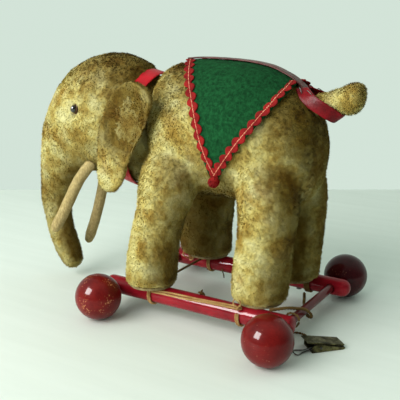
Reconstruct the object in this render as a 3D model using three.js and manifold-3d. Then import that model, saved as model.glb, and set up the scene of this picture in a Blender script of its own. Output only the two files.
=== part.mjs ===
// Pull-along toy: a stuffed plush elephant that stands on a painted wooden frame with four ball wheels.
// Millimetres, +Z up, the floor at z = 0. The elephant faces -X, and its left side is at -Y. Every piece is
// placed from the middle of the wheel frame, and the last lines move the toy to its own middle.
import * as THREE from "three";
import { mergeVertices } from "three/addons/utils/BufferGeometryUtils.js";
import Module from "manifold-3d";

const wasm = await Module();
wasm.setup();

// Driving dimensions.
const MIDDLE_X = -41.3; // of the whole toy, trunk to tail, from the middle of the wheel frame
const GAP = 0.3; // between pieces that touch
const BALL_D = 38; // turned ball wheels, 1 1/2 inch
const WHEELBASE = 155;
const TRACK = 155; // between ball centres
const AXLE_D = 7;
const BORE_CLEARANCE = 0.5; // on the radius of a rail's axle bore
const AXLE_IN_BALL = 15; // depth of the blind hole that an axle is glued into
const RAIL_D = 15;
const RAIL_SPREAD = 94; // between the rails' centre lines
const RAIL_PAST_AXLE = 15.5;
const RAIL_NOSE = 7; // how long a rail's rounded end is
const RAIL_REAR = { left: [84, 2.5], right: [93, RAIL_NOSE] }; // where each rail ends behind, and its nose there
const NAIL_D = 2.2;
const NAIL_HEAD_D = 5;
const NAIL_HEAD_T = 1;
const NAIL_TIP_Z = 43;
const SOLE_T = 2;
const NECK_X = -62; // plane where the head meets the body
const NECK_Z = 151;
const HEAD_TURN = 7; // degrees, towards the elephant's left
const EYE_D = 7.4;
const EAR_T = 5;
const EAR_EDGE = 1.5; // how far the ear's rim is rounded off
const TUSK_D = 10;
const COLLAR_W = 12;
const COLLAR_T = 1.4;
const CLOTH_T = 1.6;
const CLOTH_OFF_SKIN = 1;
const CLOTH_HALF_ANGLE = 129; // degrees round the body, from the spine to a flap's tip
const TRIM_W = 7;
const TRIM_T = 1.2;
const [TRIM_FROM, TRIM_TO] = [9, 104]; // degrees round the body
const POM_POM_D = 9;
const STRAP_W = 10;
const STRAP_T = 1.4;
const [STRAP_FROM, STRAP_TO] = [-36, 60]; // x
const CORD_D = 1.7; // lashing cord
const [RAIL_CORD_FROM, RAIL_CORD_TO] = [-40.5, 38]; // x
const LASHING_D = 2.6;
const TETHER_D = 1.8;
const TETHER_Y = -36; // where it leaves the rear axle
const CLIP_AT = [93, -38]; // x, y of the clip's thumb end
const CLIP_TURN = 47; // degrees
const CLIP_HALF_W = 7.8;
const CLIP_SHEET = 0.8;
const CLIP_PIN = [6, 3.6]; // x, z in the clip's axes
const CLIP_PIN_D = 1.8;
const CLIP_WIRE_D = 1;

const AXLE_Z = BALL_D / 2;
const AXLE_X = WHEELBASE / 2;
const BALL_Y = TRACK / 2;
const RAIL_Y = RAIL_SPREAD / 2;
const RAIL_TOP = AXLE_Z + RAIL_D / 2;
const SOLE_Z = RAIL_TOP + GAP;
const LEG_Z = SOLE_Z + SOLE_T + GAP;
const DEG = Math.PI / 180;

const toy = new THREE.Group();

function finish(color, roughness, metalness = 0) {
  return new THREE.MeshStandardMaterial({ color, roughness, metalness });
}

const FINISH = {
  plush: finish(0x9a8648, 0.95),
  redPaint: finish(0xa01c24, 0.25),
  ballPaint: finish(0x8c1b18, 0.3),
  felt: finish(0x0e5a30, 0.95),
  braid: finish(0xb82a28, 0.85),
  leather: finish(0x8e1620, 0.45),
  tusk: finish(0xb9a877, 0.9),
  glass: finish(0x0a0806, 0.05),
  sole: finish(0x8f8560, 0.95),
  steel: finish(0x6a6660, 0.45, 0.9),
  cord: finish(0xc7a468, 0.85),
  oldCord: finish(0x4a3318, 0.9),
  bronze: finish(0x4b4322, 0.45, 0.8),
};

function add(name, geometry, material) {
  const mesh = new THREE.Mesh(geometry, material);
  mesh.name = name;
  toy.add(mesh);
}

// A closed geometry as a manifold-3d solid.
function solidOf(geometry) {
  const bare = geometry.clone();
  bare.deleteAttribute("normal");
  bare.deleteAttribute("uv");
  const merged = mergeVertices(bare, 1e-4);
  return new wasm.Manifold(
    new wasm.Mesh({
      numProp: 3,
      vertProperties: merged.attributes.position.array,
      triVerts: new Uint32Array(merged.index.array),
    }),
  );
}

function geometryOf(solid) {
  const mesh = solid.getMesh();
  return new THREE.BufferGeometry()
    .setAttribute("position", new THREE.BufferAttribute(mesh.vertProperties, 3))
    .setIndex(new THREE.BufferAttribute(mesh.triVerts, 1));
}

function cut(geometry, ...tools) {
  return geometryOf(tools.reduce((left, tool) => left.subtract(solidOf(tool)), solidOf(geometry)));
}

// What is left of a piece outside others, without the slivers that they part from it.
function cutKeepingLargest(geometry, ...tools) {
  const left = tools.reduce((rest, tool) => rest.subtract(solidOf(tool)), solidOf(geometry));
  const bodies = left.decompose().sort((a, b) => b.volume() - a.volume());
  return geometryOf(bodies[0]);
}

// Moves each vertex of a geometry to the point that place(vertex) gives.
function reshape(geometry, place) {
  const position = geometry.getAttribute("position");
  const at = new THREE.Vector3();
  for (let i = 0; i < position.count; i++) {
    at.copy(place(at.fromBufferAttribute(position, i)));
    position.setXYZ(i, at.x, at.y, at.z);
  }
  return geometry;
}

// Turns a closed geometry's faces round if they point inwards.
function facingOut(geometry) {
  const at = geometry.getAttribute("position");
  const index = geometry.getIndex();
  const [a, b, c] = [new THREE.Vector3(), new THREE.Vector3(), new THREE.Vector3()];
  let volume = 0;
  for (let i = 0; i < index.count; i += 3) {
    a.fromBufferAttribute(at, index.getX(i));
    b.fromBufferAttribute(at, index.getX(i + 1));
    c.fromBufferAttribute(at, index.getX(i + 2));
    volume += a.dot(b.cross(c));
  }
  if (volume < 0) index.array.reverse();
  return geometry;
}

// The two smooth curves of a row of stations: the middles, and the girths (half across, half thick, tilt).
function loftCurves(stations) {
  const middles = stations.map(([x, y, z]) => new THREE.Vector3(x, y, z));
  const girths = stations.map(([, , , across, thick, tilt]) => new THREE.Vector3(across, thick, tilt));
  return { spine: new THREE.CatmullRomCurve3(middles), girth: new THREE.CatmullRomCurve3(girths) };
}

// A rounded solid through elliptical sections. Each station is [x, y, z, half across, half thick, tilt]: the
// section is square to X at tilt 0 and level at tilt 90, its top leaning to -X. The first and last are poles.
function plump(stations, around, along, grow = 0) {
  const { spine, girth } = loftCurves(stations);
  const shape = reshape(new THREE.SphereGeometry(1, around, along), (v) => {
    const polar = Math.acos(THREE.MathUtils.clamp(v.y, -1, 1)) / Math.PI;
    const turn = Math.atan2(v.z, v.x);
    const middle = spine.getPoint(polar);
    const { x: across, y: thick, z: tilt } = girth.getPoint(polar);
    const reach = polar < 1e-6 || polar > 1 - 1e-6 ? 0 : 1;
    const side = reach * (Math.max(across, 0.5) + grow) * Math.cos(turn);
    const up = reach * (Math.max(thick, 0.5) + grow) * Math.sin(turn);
    return new THREE.Vector3(
      middle.x - up * Math.sin(tilt * DEG),
      middle.y + side,
      middle.z + up * Math.cos(tilt * DEG),
    );
  });
  return facingOut(shape);
}

// A round stuffed tube with domed ends through points that stay near a plane of constant y.
function sausage(points, radius, around, along) {
  const stations = points.map(([x, y, z], i) => {
    const before = points[Math.max(i - 1, 0)];
    const after = points[Math.min(i + 1, points.length - 1)];
    return [x, y, z, radius, radius, Math.atan2(before[2] - after[2], before[0] - after[0]) / DEG];
  });
  const pole = (end, next) => {
    const beyond = end.map((value, i) => (i < 3 ? value + 0.25 * (value - next[i]) : value));
    return [...beyond.slice(0, 3), 0, 0, end[5]];
  };
  const first = pole(stations[0], stations[1]);
  const last = pole(stations.at(-1), stations.at(-2));
  return plump([first, ...stations, last], around, along);
}

// A rod of round section along a smooth curve through points.
function cordAlong(points, diameter, steps, sides = 8) {
  const section = new THREE.Shape().absarc(0, 0, diameter / 2, 0, 2 * Math.PI);
  const path = new THREE.CatmullRomCurve3(points.map((p) => new THREE.Vector3(...p)));
  return new THREE.ExtrudeGeometry(section, { steps, curveSegments: sides / 2, extrudePath: path });
}

// A flat strip along points. Each normal points out of the face that shows, and the strip lies on the points.
function strip(points, normals, width, thickness, steps) {
  const path = new THREE.CatmullRomCurve3(points.map((p) => new THREE.Vector3(...p)));
  const facing = new THREE.CatmullRomCurve3(normals.map((n) => new THREE.Vector3(...n)));
  const slab = new THREE.BoxGeometry(1, 1, 1, 1, steps, 1);
  const shape = reshape(slab, (v) => {
    const t = v.y + 0.5;
    const out = facing.getPoint(t).normalize();
    const side = path.getTangent(t).cross(out).normalize();
    return path
      .getPoint(t)
      .addScaledVector(side, v.x * width)
      .addScaledVector(out, (v.z + 0.5) * thickness);
  });
  return facingOut(shape);
}

function cylinderAlongY(radius, length, sides) {
  return new THREE.CylinderGeometry(radius, radius, length, sides);
}

function cylinderAlongZ(radius, length, sides) {
  return cylinderAlongY(radius, length, sides).rotateX(90 * DEG);
}

const SIDES = [
  ["left", -1],
  ["right", 1],
];
const AXLES = [
  ["front", -1],
  ["rear", 1],
];

// Where the elephant's feet stand: [x, y of the left foot].
const FOOT = { front: [-46, -46], rear: [47, -31] };
const FOOT_R = 21;

// --- Frame ---

function nailPlace(end, side) {
  return [FOOT[end][0], side * (RAIL_Y - 1)];
}

// Half of a dowel's outline, from the axis at one end to the axis at the other, with an elliptical nose each end.
function dowelProfile(radius, low, high, lowNose, highNose) {
  const nose = [0, 22.5, 45, 67.5, 90].map((angle) => [radius * Math.sin(angle * DEG), Math.cos(angle * DEG)]);
  const bottom = nose.map(([r, reach]) => new THREE.Vector2(r, low + lowNose * (1 - reach)));
  const top = nose.map(([r, reach]) => new THREE.Vector2(r, high - highNose * (1 - reach))).reverse();
  return [...bottom, ...top];
}

function rail(side) {
  const [rearEnd, rearNose] = RAIL_REAR[side < 0 ? "left" : "right"];
  const outline = dowelProfile(RAIL_D / 2, -AXLE_X - RAIL_PAST_AXLE, rearEnd, RAIL_NOSE, rearNose);
  const dowel = new THREE.LatheGeometry(outline, 16).rotateZ(-90 * DEG).translate(0, side * RAIL_Y, AXLE_Z);
  const bores = AXLES.map(([, end]) =>
    cylinderAlongY(AXLE_D / 2 + BORE_CLEARANCE, 2 * RAIL_D, 16).translate(end * AXLE_X, side * RAIL_Y, AXLE_Z),
  );
  const nailHoles = AXLES.map(([end]) => {
    const [x, y] = nailPlace(end, side);
    return cylinderAlongZ(NAIL_D / 2 + GAP, 2 * RAIL_D, 8).translate(x, y, AXLE_Z);
  });
  return cut(dowel, ...bores, ...nailHoles);
}

function axle(end) {
  const length = 2 * (BALL_Y - BALL_D / 2 + AXLE_IN_BALL - GAP);
  return cylinderAlongY(AXLE_D / 2, length, 16).translate(end * AXLE_X, 0, AXLE_Z);
}

function ball(end, side) {
  const hole = cylinderAlongY(AXLE_D / 2 + GAP, 2 * AXLE_IN_BALL, 16).translate(0, (-side * BALL_D) / 2, 0);
  return cut(new THREE.SphereGeometry(BALL_D / 2, 20, 12), hole).translate(end * AXLE_X, side * BALL_Y, AXLE_Z);
}

for (const [sideName, side] of SIDES) add(`side_rail_${sideName}`, rail(side), FINISH.redPaint);
for (const [endName, end] of AXLES) {
  add(`${endName}_axle`, axle(end), FINISH.redPaint);
  for (const [sideName, side] of SIDES) add(`wheel_${endName}_${sideName}`, ball(end, side), FINISH.ballPaint);
}

// --- Body and legs ---

const TORSO = [
  [NECK_X + 0.6, 0, NECK_Z, 0, 0, 0],
  [NECK_X + 0.8, 0, NECK_Z, 27, 38, 0],
  [-55, 0, 152, 36, 49, 0],
  [-44, 0, 152.5, 42.5, 53.5, 0],
  [-28, 0, 152.5, 45, 54.5, 0],
  [-8, 0, 152.5, 46, 54.5, 0],
  [14, 0, 152, 46, 54, 0],
  [34, 0, 150.5, 45.5, 53, 0],
  [52, 0, 147, 43, 49.5, 0],
  [66, 0, 144, 37, 43, 0],
  [75, 0, 141, 28, 33, 0],
  [80.5, 0, 139, 15, 19, 0],
  [82, 0, 139, 0, 0, 0],
];
const AROUND_TORSO = 24;
const ALONG_TORSO = 18;

function torso(grow = 0) {
  return plump(TORSO, AROUND_TORSO, ALONG_TORSO, grow);
}

// Sections up each leg: [x shift, y, z, half across, half thick], from the sole to inside the body.
const LEG = {
  front: [
    [0, -46, 0, 0, 0],
    [0, -46, 0.1, 18.5, 18.5],
    [0, -46, 5, 21.5, 21.5],
    [1, -45.5, 20, 21, 21.5],
    [3, -44, 40, 20, 21],
    [8, -40, 62, 21, 22],
    [12, -33, 84, 24, 25],
    [14, -26, 104, 22, 27],
    [15, -22, 120, 12, 18],
    [15, -22, 124, 0, 0],
  ],
  rear: [
    [0, -31, 0, 0, 0],
    [0, -31, 0.1, 20, 19.5],
    [0, -31, 5, 22.5, 22.5],
    [1, -31, 20, 22.5, 22.5],
    [3, -30.5, 40, 21.5, 22.5],
    [4.5, -29, 62, 22.5, 23],
    [2.5, -26, 84, 24.5, 25],
    [0, -22, 104, 24, 25],
    [-2, -20, 120, 14, 16],
    [-2, -20, 124, 0, 0],
  ],
};

function leg(end, side) {
  const stations = LEG[end].map(([dx, y, dz, across, thick]) => [
    FOOT[end][0] + dx,
    -side * y,
    LEG_Z + dz,
    across,
    thick,
    90,
  ]);
  const [x, y] = nailPlace(end, side);
  const nailHole = cylinderAlongZ(NAIL_D / 2 + GAP, 2 * (NAIL_TIP_Z + GAP - SOLE_Z), 8).translate(x, y, SOLE_Z);
  return cutKeepingLargest(plump(stations, 16, 12), torso(0.4), nailHole);
}

function sole(end, side) {
  const [x, y] = FOOT[end];
  const pad = cylinderAlongZ(FOOT_R - 2.5, SOLE_T, 20).translate(x, -side * y, SOLE_Z + SOLE_T / 2);
  const [nailX, nailY] = nailPlace(end, side);
  return cut(pad, cylinderAlongZ(NAIL_D / 2 + GAP, 4 * SOLE_T, 8).translate(nailX, nailY, SOLE_Z));
}

// A round-headed nail, driven up through a rail and a sole into the leg.
function nail(end, side) {
  const [x, y] = nailPlace(end, side);
  const headTop = AXLE_Z - RAIL_D / 2 - GAP;
  const profile = [
    [0, headTop - NAIL_HEAD_T],
    [NAIL_HEAD_D / 2, headTop - 0.4 * NAIL_HEAD_T],
    [NAIL_HEAD_D / 2, headTop],
    [NAIL_D / 2, headTop],
    [NAIL_D / 2, NAIL_TIP_Z - 3],
    [0, NAIL_TIP_Z],
  ].map(([r, z]) => new THREE.Vector2(r, z));
  return new THREE.LatheGeometry(profile, 8).rotateX(90 * DEG).translate(x, y, 0);
}

add("torso", torso(), FINISH.plush);
for (const [endName] of AXLES)
  for (const [sideName, side] of SIDES) {
    add(`leg_${endName}_${sideName}`, leg(endName, side), FINISH.plush);
    add(`foot_sole_${endName}_${sideName}`, sole(endName, side), FINISH.sole);
    add(`foot_nail_${endName}_${sideName}`, nail(endName, side), FINISH.steel);
  }

// The torso's section at a place along its length: the middle's height, and how far it reaches across and up.
function torsoAt(x) {
  const { spine, girth } = loftCurves(TORSO);
  let [low, high] = [0, 1];
  for (let i = 0; i < 24; i++) {
    const middle = (low + high) / 2;
    if (spine.getPoint(middle).x < x) low = middle;
    else high = middle;
  }
  const { x: across, y: up } = girth.getPoint(low);
  return { z: spine.getPoint(low).z, across, up };
}

// A point over the torso's skin: x along it, an angle from the spine towards the left, and a height off the skin.
function overTorso(x, angle, height) {
  const { z, across, up } = torsoAt(x);
  return new THREE.Vector3(
    x,
    -(across + height) * Math.sin(angle * DEG),
    z + (up + height) * Math.cos(angle * DEG),
  );
}

// --- Head, before it is turned on the neck ---

function turned(geometry) {
  return geometry
    .translate(-NECK_X, 0, 0)
    .rotateZ(HEAD_TURN * DEG)
    .translate(NECK_X, 0, 0);
}

const HEAD = [
  [NECK_X - 0.8, 0, NECK_Z, 0, 0, 0],
  [NECK_X - 1.4, 0, NECK_Z + 1, 26, 38, 0],
  [-68, 0, 154, 31.5, 45.5, 0],
  [-80, 0, 157, 37.5, 50, 2],
  [-96, 0, 159.5, 41, 54.5, 5],
  [-113.5, 0, 158, 41.5, 55.5, 12],
  [-130, 0, 151.5, 38.5, 53, 24],
  [-144.5, 0, 141, 32.5, 46, 38],
  [-158, 0, 128, 26, 35.5, 55],
  [-169, 0, 112.5, 20.5, 24, 72],
  [-178, 0, 94, 16.5, 17, 82],
  [-181, 0, 74, 14, 14.5, 90],
  [-179, 0, 54, 13, 13, 98],
  [-173, 0, 34, 12.5, 12.5, 110],
  [-166, 0, 18, 11.5, 11, 118],
  [-162.5, 0, 11, 8.5, 8, 120],
  [-161, 0, 8.5, 0, 0, 120],
];

function headSkin(grow = 0) {
  return plump(HEAD, 20, 24, grow);
}

const EYE_AT = [-129.5, 36, 167];

function eyeball(side, grow = 0) {
  const [x, y, z] = EYE_AT;
  return new THREE.SphereGeometry(EYE_D / 2 + grow, 12, 8).translate(x, side * y, z);
}

// The ear's outline in its own plane: how far back from the hinge line, and the height.
const EAR_OUTLINE = [
  [36, 190.5],
  [46, 194],
  [57, 193],
  [66, 188.5],
  [70.5, 180],
  [68, 171],
  [60, 158],
  [48, 141],
  [39, 122],
  [33, 110],
  [26, 102],
  [19, 99.5],
  [13, 101.5],
  [9, 109],
  [6, 124],
  [6, 139],
  [11, 154],
  [18, 173],
  [26, 184],
];
const EAR_HINGE = [-111, 41]; // the plane's front edge: x, and how far out
const EAR_FLARE = 14; // degrees that the plane stands out from the head's side

function ear(side) {
  const curve = new THREE.CatmullRomCurve3(EAR_OUTLINE.map(([back, z]) => new THREE.Vector3(back, z, 0)), true);
  const outline = new THREE.Shape(curve.getPoints(30).map(({ x, y }) => new THREE.Vector2(x, y)));
  const flap = new THREE.ExtrudeGeometry(outline, {
    depth: EAR_T - 2 * EAR_EDGE,
    bevelThickness: EAR_EDGE,
    bevelSize: EAR_EDGE,
    bevelOffset: -EAR_EDGE,
    bevelSegments: 1,
  });
  flap
    .rotateX(90 * DEG)
    .rotateZ(-EAR_FLARE * DEG)
    .translate(EAR_HINGE[0], -EAR_HINGE[1] + EAR_T / 2, 0);
  return side < 0 ? flap : mirrored(flap);
}

// The same solid on the other side of the plane y = 0, with its faces still pointing out.
function mirrored(geometry) {
  return geometryOf(solidOf(geometry).mirror([0, 1, 0]));
}

// Centre lines of the felt tusks, which hang differently.
const TUSK_LINE = {
  left: [
    [-114, -22, 129],
    [-121.5, -26, 119.5],
    [-131, -28.5, 108],
    [-139, -29.5, 95],
    [-145, -30.5, 83],
    [-152, -31, 70],
    [-160, -32, 57],
  ],
  right: [
    [-128, 18, 128],
    [-134, 20.5, 113],
    [-140, 22.5, 98],
    [-145, 23.5, 82],
    [-150, 24.5, 66],
    [-156, 25, 49],
    [-164, 26, 30],
  ],
};

function tusk(sideName) {
  return cutKeepingLargest(sausage(TUSK_LINE[sideName], TUSK_D / 2, 10, 12), headSkin(0.4));
}

// The collar's ring is slanted: its middle, and its half axes up and across.
const COLLAR = { middle: [-79, 0, 150], up: [11, 0, 48], across: 36 };

// A band round the neck, its ends a little apart at the throat. Grown, it is the groove that it lies in.
function collar(grow = 0) {
  const { middle, up, across } = COLLAR;
  const around = Array.from({ length: 25 }, (_, i) => (-178 + (356 * i) / 24) * DEG);
  const radial = around.map((turn) =>
    new THREE.Vector3(...up).multiplyScalar(Math.cos(turn)).add(new THREE.Vector3(0, across * Math.sin(turn), 0)),
  );
  const points = radial.map((r) => r.clone().add(new THREE.Vector3(...middle)).addScaledVector(r, -grow / r.length()));
  const list = (vectors) => vectors.map((v) => v.toArray());
  return strip(list(points), list(radial), COLLAR_W + 2 * grow, COLLAR_T + 2 * grow, 32);
}

const headWithSockets = cut(headSkin(), ...SIDES.map(([, side]) => eyeball(side, GAP)));
add("head", cutKeepingLargest(turned(headWithSockets), collar(GAP), torso(0.4)), FINISH.plush);
for (const [sideName, side] of SIDES) {
  add(`ear_${sideName}`, turned(cutKeepingLargest(ear(side), headSkin(0.5))), FINISH.plush);
  add(`eye_${sideName}`, turned(eyeball(side)), FINISH.glass);
  add(`tusk_${sideName}`, turned(tusk(sideName)), FINISH.tusk);
}
add("collar", collar(), FINISH.leather);

// --- Tail and harness ---

const TAIL = [
  [70, 0, 176, 0, 0, 0],
  [71, 0, 176, 8, 8, 0],
  [80, 0, 179, 9, 9, -10],
  [90, 0, 181.5, 10, 9.5, -10],
  [100, 0, 183.5, 12, 12, -8],
  [107, 0, 184, 12, 12, -8],
  [111, 0, 184, 8, 8, -8],
  [112, 0, 184, 0, 0, -8],
];

// The saddle cloth's two edges, front and rear, as x at angles round the body from the spine to a flap's tip.
const CLOTH_EDGES = [
  [0, -36, 60],
  [30, -22, 60],
  [65, -7.5, 53.5],
  [95, 0, 36.5],
  [CLOTH_HALF_ANGLE, 9, 14],
];
const clothEdges = new THREE.CubicInterpolant(
  CLOTH_EDGES.map(([angle]) => angle),
  CLOTH_EDGES.flatMap(([, front, rear]) => [front, rear]),
  2,
);

// A point over the cloth's place: across is from -1 at the front edge to 1 at the rear one.
function clothPoint(across, angle, height) {
  const [front, rear] = clothEdges.evaluate(Math.abs(angle));
  return overTorso((front + rear + across * (rear - front)) / 2, angle, height);
}

function saddleCloth() {
  const sheet = reshape(new THREE.BoxGeometry(2, 2, 1, 6, 24, 1), (v) =>
    clothPoint(v.x, v.y * CLOTH_HALF_ANGLE, CLOTH_OFF_SKIN + (v.z + 0.5) * CLOTH_T),
  );
  return facingOut(sheet);
}

// A braid on the cloth, along one edge of one flap.
function trim(end, side) {
  const low = CLOTH_OFF_SKIN + CLOTH_T + GAP;
  const braid = reshape(new THREE.BoxGeometry(1, 1, 1, 1, 14, 1), (v) => {
    const angle = TRIM_FROM + (v.y + 0.5) * (TRIM_TO - TRIM_FROM);
    const edge = clothEdges.evaluate(angle)[end < 0 ? 0 : 1];
    return overTorso(edge + end * (v.x - 0.5) * TRIM_W, -side * angle, low + (v.z + 0.5) * TRIM_T);
  });
  return facingOut(braid);
}

// A pom-pom lies on each flap's tip.
function pomPom(side) {
  const height = CLOTH_OFF_SKIN + CLOTH_T + GAP + POM_POM_D / 2;
  const { x, y, z } = clothPoint(0, -side * (CLOTH_HALF_ANGLE - 5), height);
  return new THREE.SphereGeometry(POM_POM_D / 2, 10, 6).translate(x, y, z);
}

// A strap along the spine, over the cloth.
function backStrap() {
  const along = Array.from({ length: 9 }, (_, i) => STRAP_FROM + ((STRAP_TO - STRAP_FROM) * i) / 8);
  const height = CLOTH_OFF_SKIN + CLOTH_T + GAP;
  const points = along.map((x) => overTorso(x, 0, height).toArray());
  const up = along.map(() => [0, 0, 1]);
  return strip(points, up, STRAP_W, STRAP_T, 12);
}

// The crupper: a band that runs down the rump on both sides and passes under the tail.
const CRUPPER_LEFT = [
  { at: [65.5, -6, 189.4], out: [0.35, -0.45, 0.8] },
  { at: [71.7, -11.3, 184.5], out: [0.35, -0.85, 0.4] },
  { at: [77.5, -12.8, 180.5], out: [0.25, -0.95, 0.1] },
  { at: [84, -11.8, 176.6], out: [0.3, -0.95, -0.1] },
  { at: [89.5, -8, 172.6], out: [0.45, -0.85, -0.3] },
];
const CRUPPER_MIDDLE = { at: [93, 0, 169], out: [0.6, 0, -0.8] };

// The band. Grown, it is the groove that it presses into the tail.
function crupper(grow = 0) {
  const opposite = ([x, y, z]) => [x, -y, z];
  const right = CRUPPER_LEFT.map(({ at, out }) => ({ at: opposite(at), out: opposite(out) })).reverse();
  const route = [...CRUPPER_LEFT, CRUPPER_MIDDLE, ...right];
  const outs = route.map(({ out }) => new THREE.Vector3(...out).normalize());
  const points = route.map(({ at }, i) => new THREE.Vector3(...at).addScaledVector(outs[i], -grow));
  const list = (vectors) => vectors.map((v) => v.toArray());
  return strip(list(points), list(outs), STRAP_W + 2 * grow, STRAP_T + 2 * grow, 24);
}

add("tail", cutKeepingLargest(plump(TAIL, 14, 10), torso(0.4), crupper(GAP)), FINISH.plush);
add("saddle_cloth", saddleCloth(), FINISH.felt);
for (const [sideName, side] of SIDES) {
  for (const [endName, end] of AXLES) add(`cloth_trim_${endName}_${sideName}`, trim(end, side), FINISH.braid);
  add(`pom_pom_${sideName}`, pomPom(side), FINISH.braid);
}
add("back_strap", backStrap(), FINISH.leather);
add("crupper_strap", crupper(), FINISH.leather);

// --- Lashings: cords tied round the frame, all held by it ---

// Part of a ring round a rail, with clearance. Angles run from level and outward, over the top.
function railTie(x, side, from, to, diameter) {
  const reach = RAIL_D / 2 + GAP + diameter / 2;
  const turns = Array.from({ length: 12 }, (_, i) => (from + ((to - from) * i) / 11) * DEG);
  const points = turns.map((turn) => [
    x,
    side * (RAIL_Y + reach * Math.cos(turn)),
    AXLE_Z + reach * Math.sin(turn),
  ]);
  return cordAlong(points, diameter, 14, 6);
}

function knot(x, y, z, radius) {
  return new THREE.SphereGeometry(radius, 8, 6).translate(x, y, z);
}

// The doubled cord on the left rail's shoulder, between the feet.
function railCord() {
  const reach = RAIL_D / 2 + GAP;
  const along = [0, 0.25, 0.5, 0.75, 1].map((t) => [RAIL_CORD_FROM + t * (RAIL_CORD_TO - RAIL_CORD_FROM), 34 + 20 * t]);
  const out = along.map(([, angle]) => [0, -Math.cos(angle * DEG), Math.sin(angle * DEG)]);
  const points = along.map(([x], i) => [x, -RAIL_Y + reach * out[i][1], AXLE_Z + reach * out[i][2]]);
  return strip(points, out, 2 * CORD_D, CORD_D, 12);
}

const CROSS_LASHING = [
  [-47.3, 37.4, 24.4],
  [-47.8, 12, 24],
  [-47.6, -14, 23.6],
  [-47, -37.6, 23.2],
];

const ROD_LASHING = [
  [56.5, 35.5, 12],
  [61.5, 24, 12.6],
  [66.6, 11.6, 13],
  [72, 2, 12.6],
  [78, -7, 11.6],
  [83.6, -13.5, 14.5],
  [84.4, -18.5, 19.5],
  [82, -23.5, 24],
  [78, -29.5, 26],
  [74, -36.5, 28],
  [70, -43, 28.8],
  [64, -48, 28.3],
];

// A ring of cord round the rear axle, loose enough for the axle to turn in it. The tether hangs from it.
function axleLoop() {
  const ring = new THREE.TorusGeometry(AXLE_D / 2 + 1.2 + TETHER_D / 2, TETHER_D / 2, 8, 20);
  return ring.rotateX(90 * DEG).translate(AXLE_X, TETHER_Y, AXLE_Z);
}

add("rail_cord", railCord(), FINISH.cord);
add("rail_cord_knot", knot(RAIL_CORD_TO + 2.6, -53.8, 26.9, 2), FINISH.cord);
add("rail_tie_front_left", railTie(RAIL_CORD_FROM - 1.7, -1, 46, -220, CORD_D), FINISH.cord);
add("rail_tie_rear_left", railTie(RAIL_CORD_TO + 2.6, -1, 24, -220, CORD_D), FINISH.cord);
add("rail_tie_front_right", railTie(-42.2, 1, 135, 400, CORD_D), FINISH.cord);
add("rail_tie_rear_right", railTie(57, 1, 135, 400, 2 * CORD_D), FINISH.oldCord);
add("cross_lashing", cordAlong(CROSS_LASHING, CORD_D, 16, 6), FINISH.oldCord);
add("cross_lashing_knot", knot(-60, 37, 22.8, 2.8), FINISH.cord);
add("rail_knot_left", knot(-2, -38, 24.2, 2.6), FINISH.oldCord);
add("rod_lashing", cordAlong(ROD_LASHING, LASHING_D, 34, 6), FINISH.oldCord);
add("axle_loop", axleLoop(), FINISH.oldCord);

// --- Tether and its spring clip, which lie on the floor behind ---

const TETHER = [
  [77.5, -36, 11.9],
  [76.6, -34.2, 9.6],
  [75.2, -31.6, 7.2],
  [73.8, -28.8, 5],
  [72.9, -26, 3.1],
  [72.6, -23.2, 1.8],
  [73.2, -20.8, 1.3],
  [74.8, -19.2, 1.15],
  [77, -18.9, 1.2],
  [79.2, -19.8, 1.6],
  [81.2, -21.5, 2.3],
  [83, -23.6, 3.1],
  [84.6, -25.8, 3.9],
  [86, -28, 4.5],
  [87, -30, 4.9],
];

// The clip's own axes: x from its thumb end to its mouth, y across, z up.
function onFloor(geometry) {
  return geometry.rotateZ(CLIP_TURN * DEG).translate(CLIP_AT[0], CLIP_AT[1], 0);
}

// A plate that stands across the clip: an outline in x and z, its thickness from y to y + CLIP_SHEET.
function upright(outline, y) {
  const shape = new THREE.Shape(outline.map(([x, z]) => new THREE.Vector2(x, z)));
  const plate = new THREE.ExtrudeGeometry(shape, { depth: CLIP_SHEET, bevelEnabled: false });
  return plate.rotateX(90 * DEG).translate(0, y + CLIP_SHEET, 0);
}

// A bent sheet that spans the clip: its side view in x and z, from -half to half across.
function spanning(outline, half) {
  const shape = new THREE.Shape(outline.map(([x, z]) => new THREE.Vector2(x, z)));
  const sheet = new THREE.ExtrudeGeometry(shape, { depth: 2 * half, bevelEnabled: false });
  return sheet.rotateX(90 * DEG).translate(0, half, 0);
}

function joined(...geometries) {
  return geometries.map(solidOf).reduce((whole, part) => whole.add(part));
}

function pinHole(radius) {
  return solidOf(cylinderAlongY(radius, 3 * CLIP_HALF_W, 12).translate(CLIP_PIN[0], 0, CLIP_PIN[1]));
}

function clipBody() {
  const cheek = [
    [-1, 0.2],
    [24, 0.2],
    [25.5, 1.2],
    [14, 4],
    [6, 6],
    [1, 6],
    [-1, 4.4],
  ];
  const floor = [
    [-1, 0.2],
    [24, 0.2],
    [25.5, 1],
    [25.5, 1.8],
    [23.6, 1],
    [-1, 1],
  ];
  const whole = joined(
    spanning(floor, CLIP_HALF_W),
    upright(cheek, -CLIP_HALF_W),
    upright(cheek, CLIP_HALF_W - CLIP_SHEET),
  );
  return geometryOf(whole.subtract(pinHole(CLIP_PIN_D / 2 + GAP)));
}

// The jaw that opens: a sloping plate between the cheeks, with two ears that the pin passes through.
function clipJaw() {
  const half = CLIP_HALF_W - CLIP_SHEET - 0.4;
  const plate = [
    [-4, 7.6],
    [0, 7.2],
    [25, 2.7],
    [25.6, 3.5],
    [0, 8.1],
    [-4, 8.5],
  ];
  const ear = [
    [3, 7.2],
    [9, 6.2],
    [8.4, 3.4],
    [6, 2],
    [3.6, 3.4],
  ];
  const whole = joined(spanning(plate, half), upright(ear, -half), upright(ear, half - CLIP_SHEET));
  return geometryOf(whole.subtract(pinHole(CLIP_PIN_D / 2 + GAP)));
}

function clipPin() {
  return cylinderAlongY(CLIP_PIN_D / 2, 2 * CLIP_HALF_W + 1, 12).translate(CLIP_PIN[0], 0, CLIP_PIN[1]);
}

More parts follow.
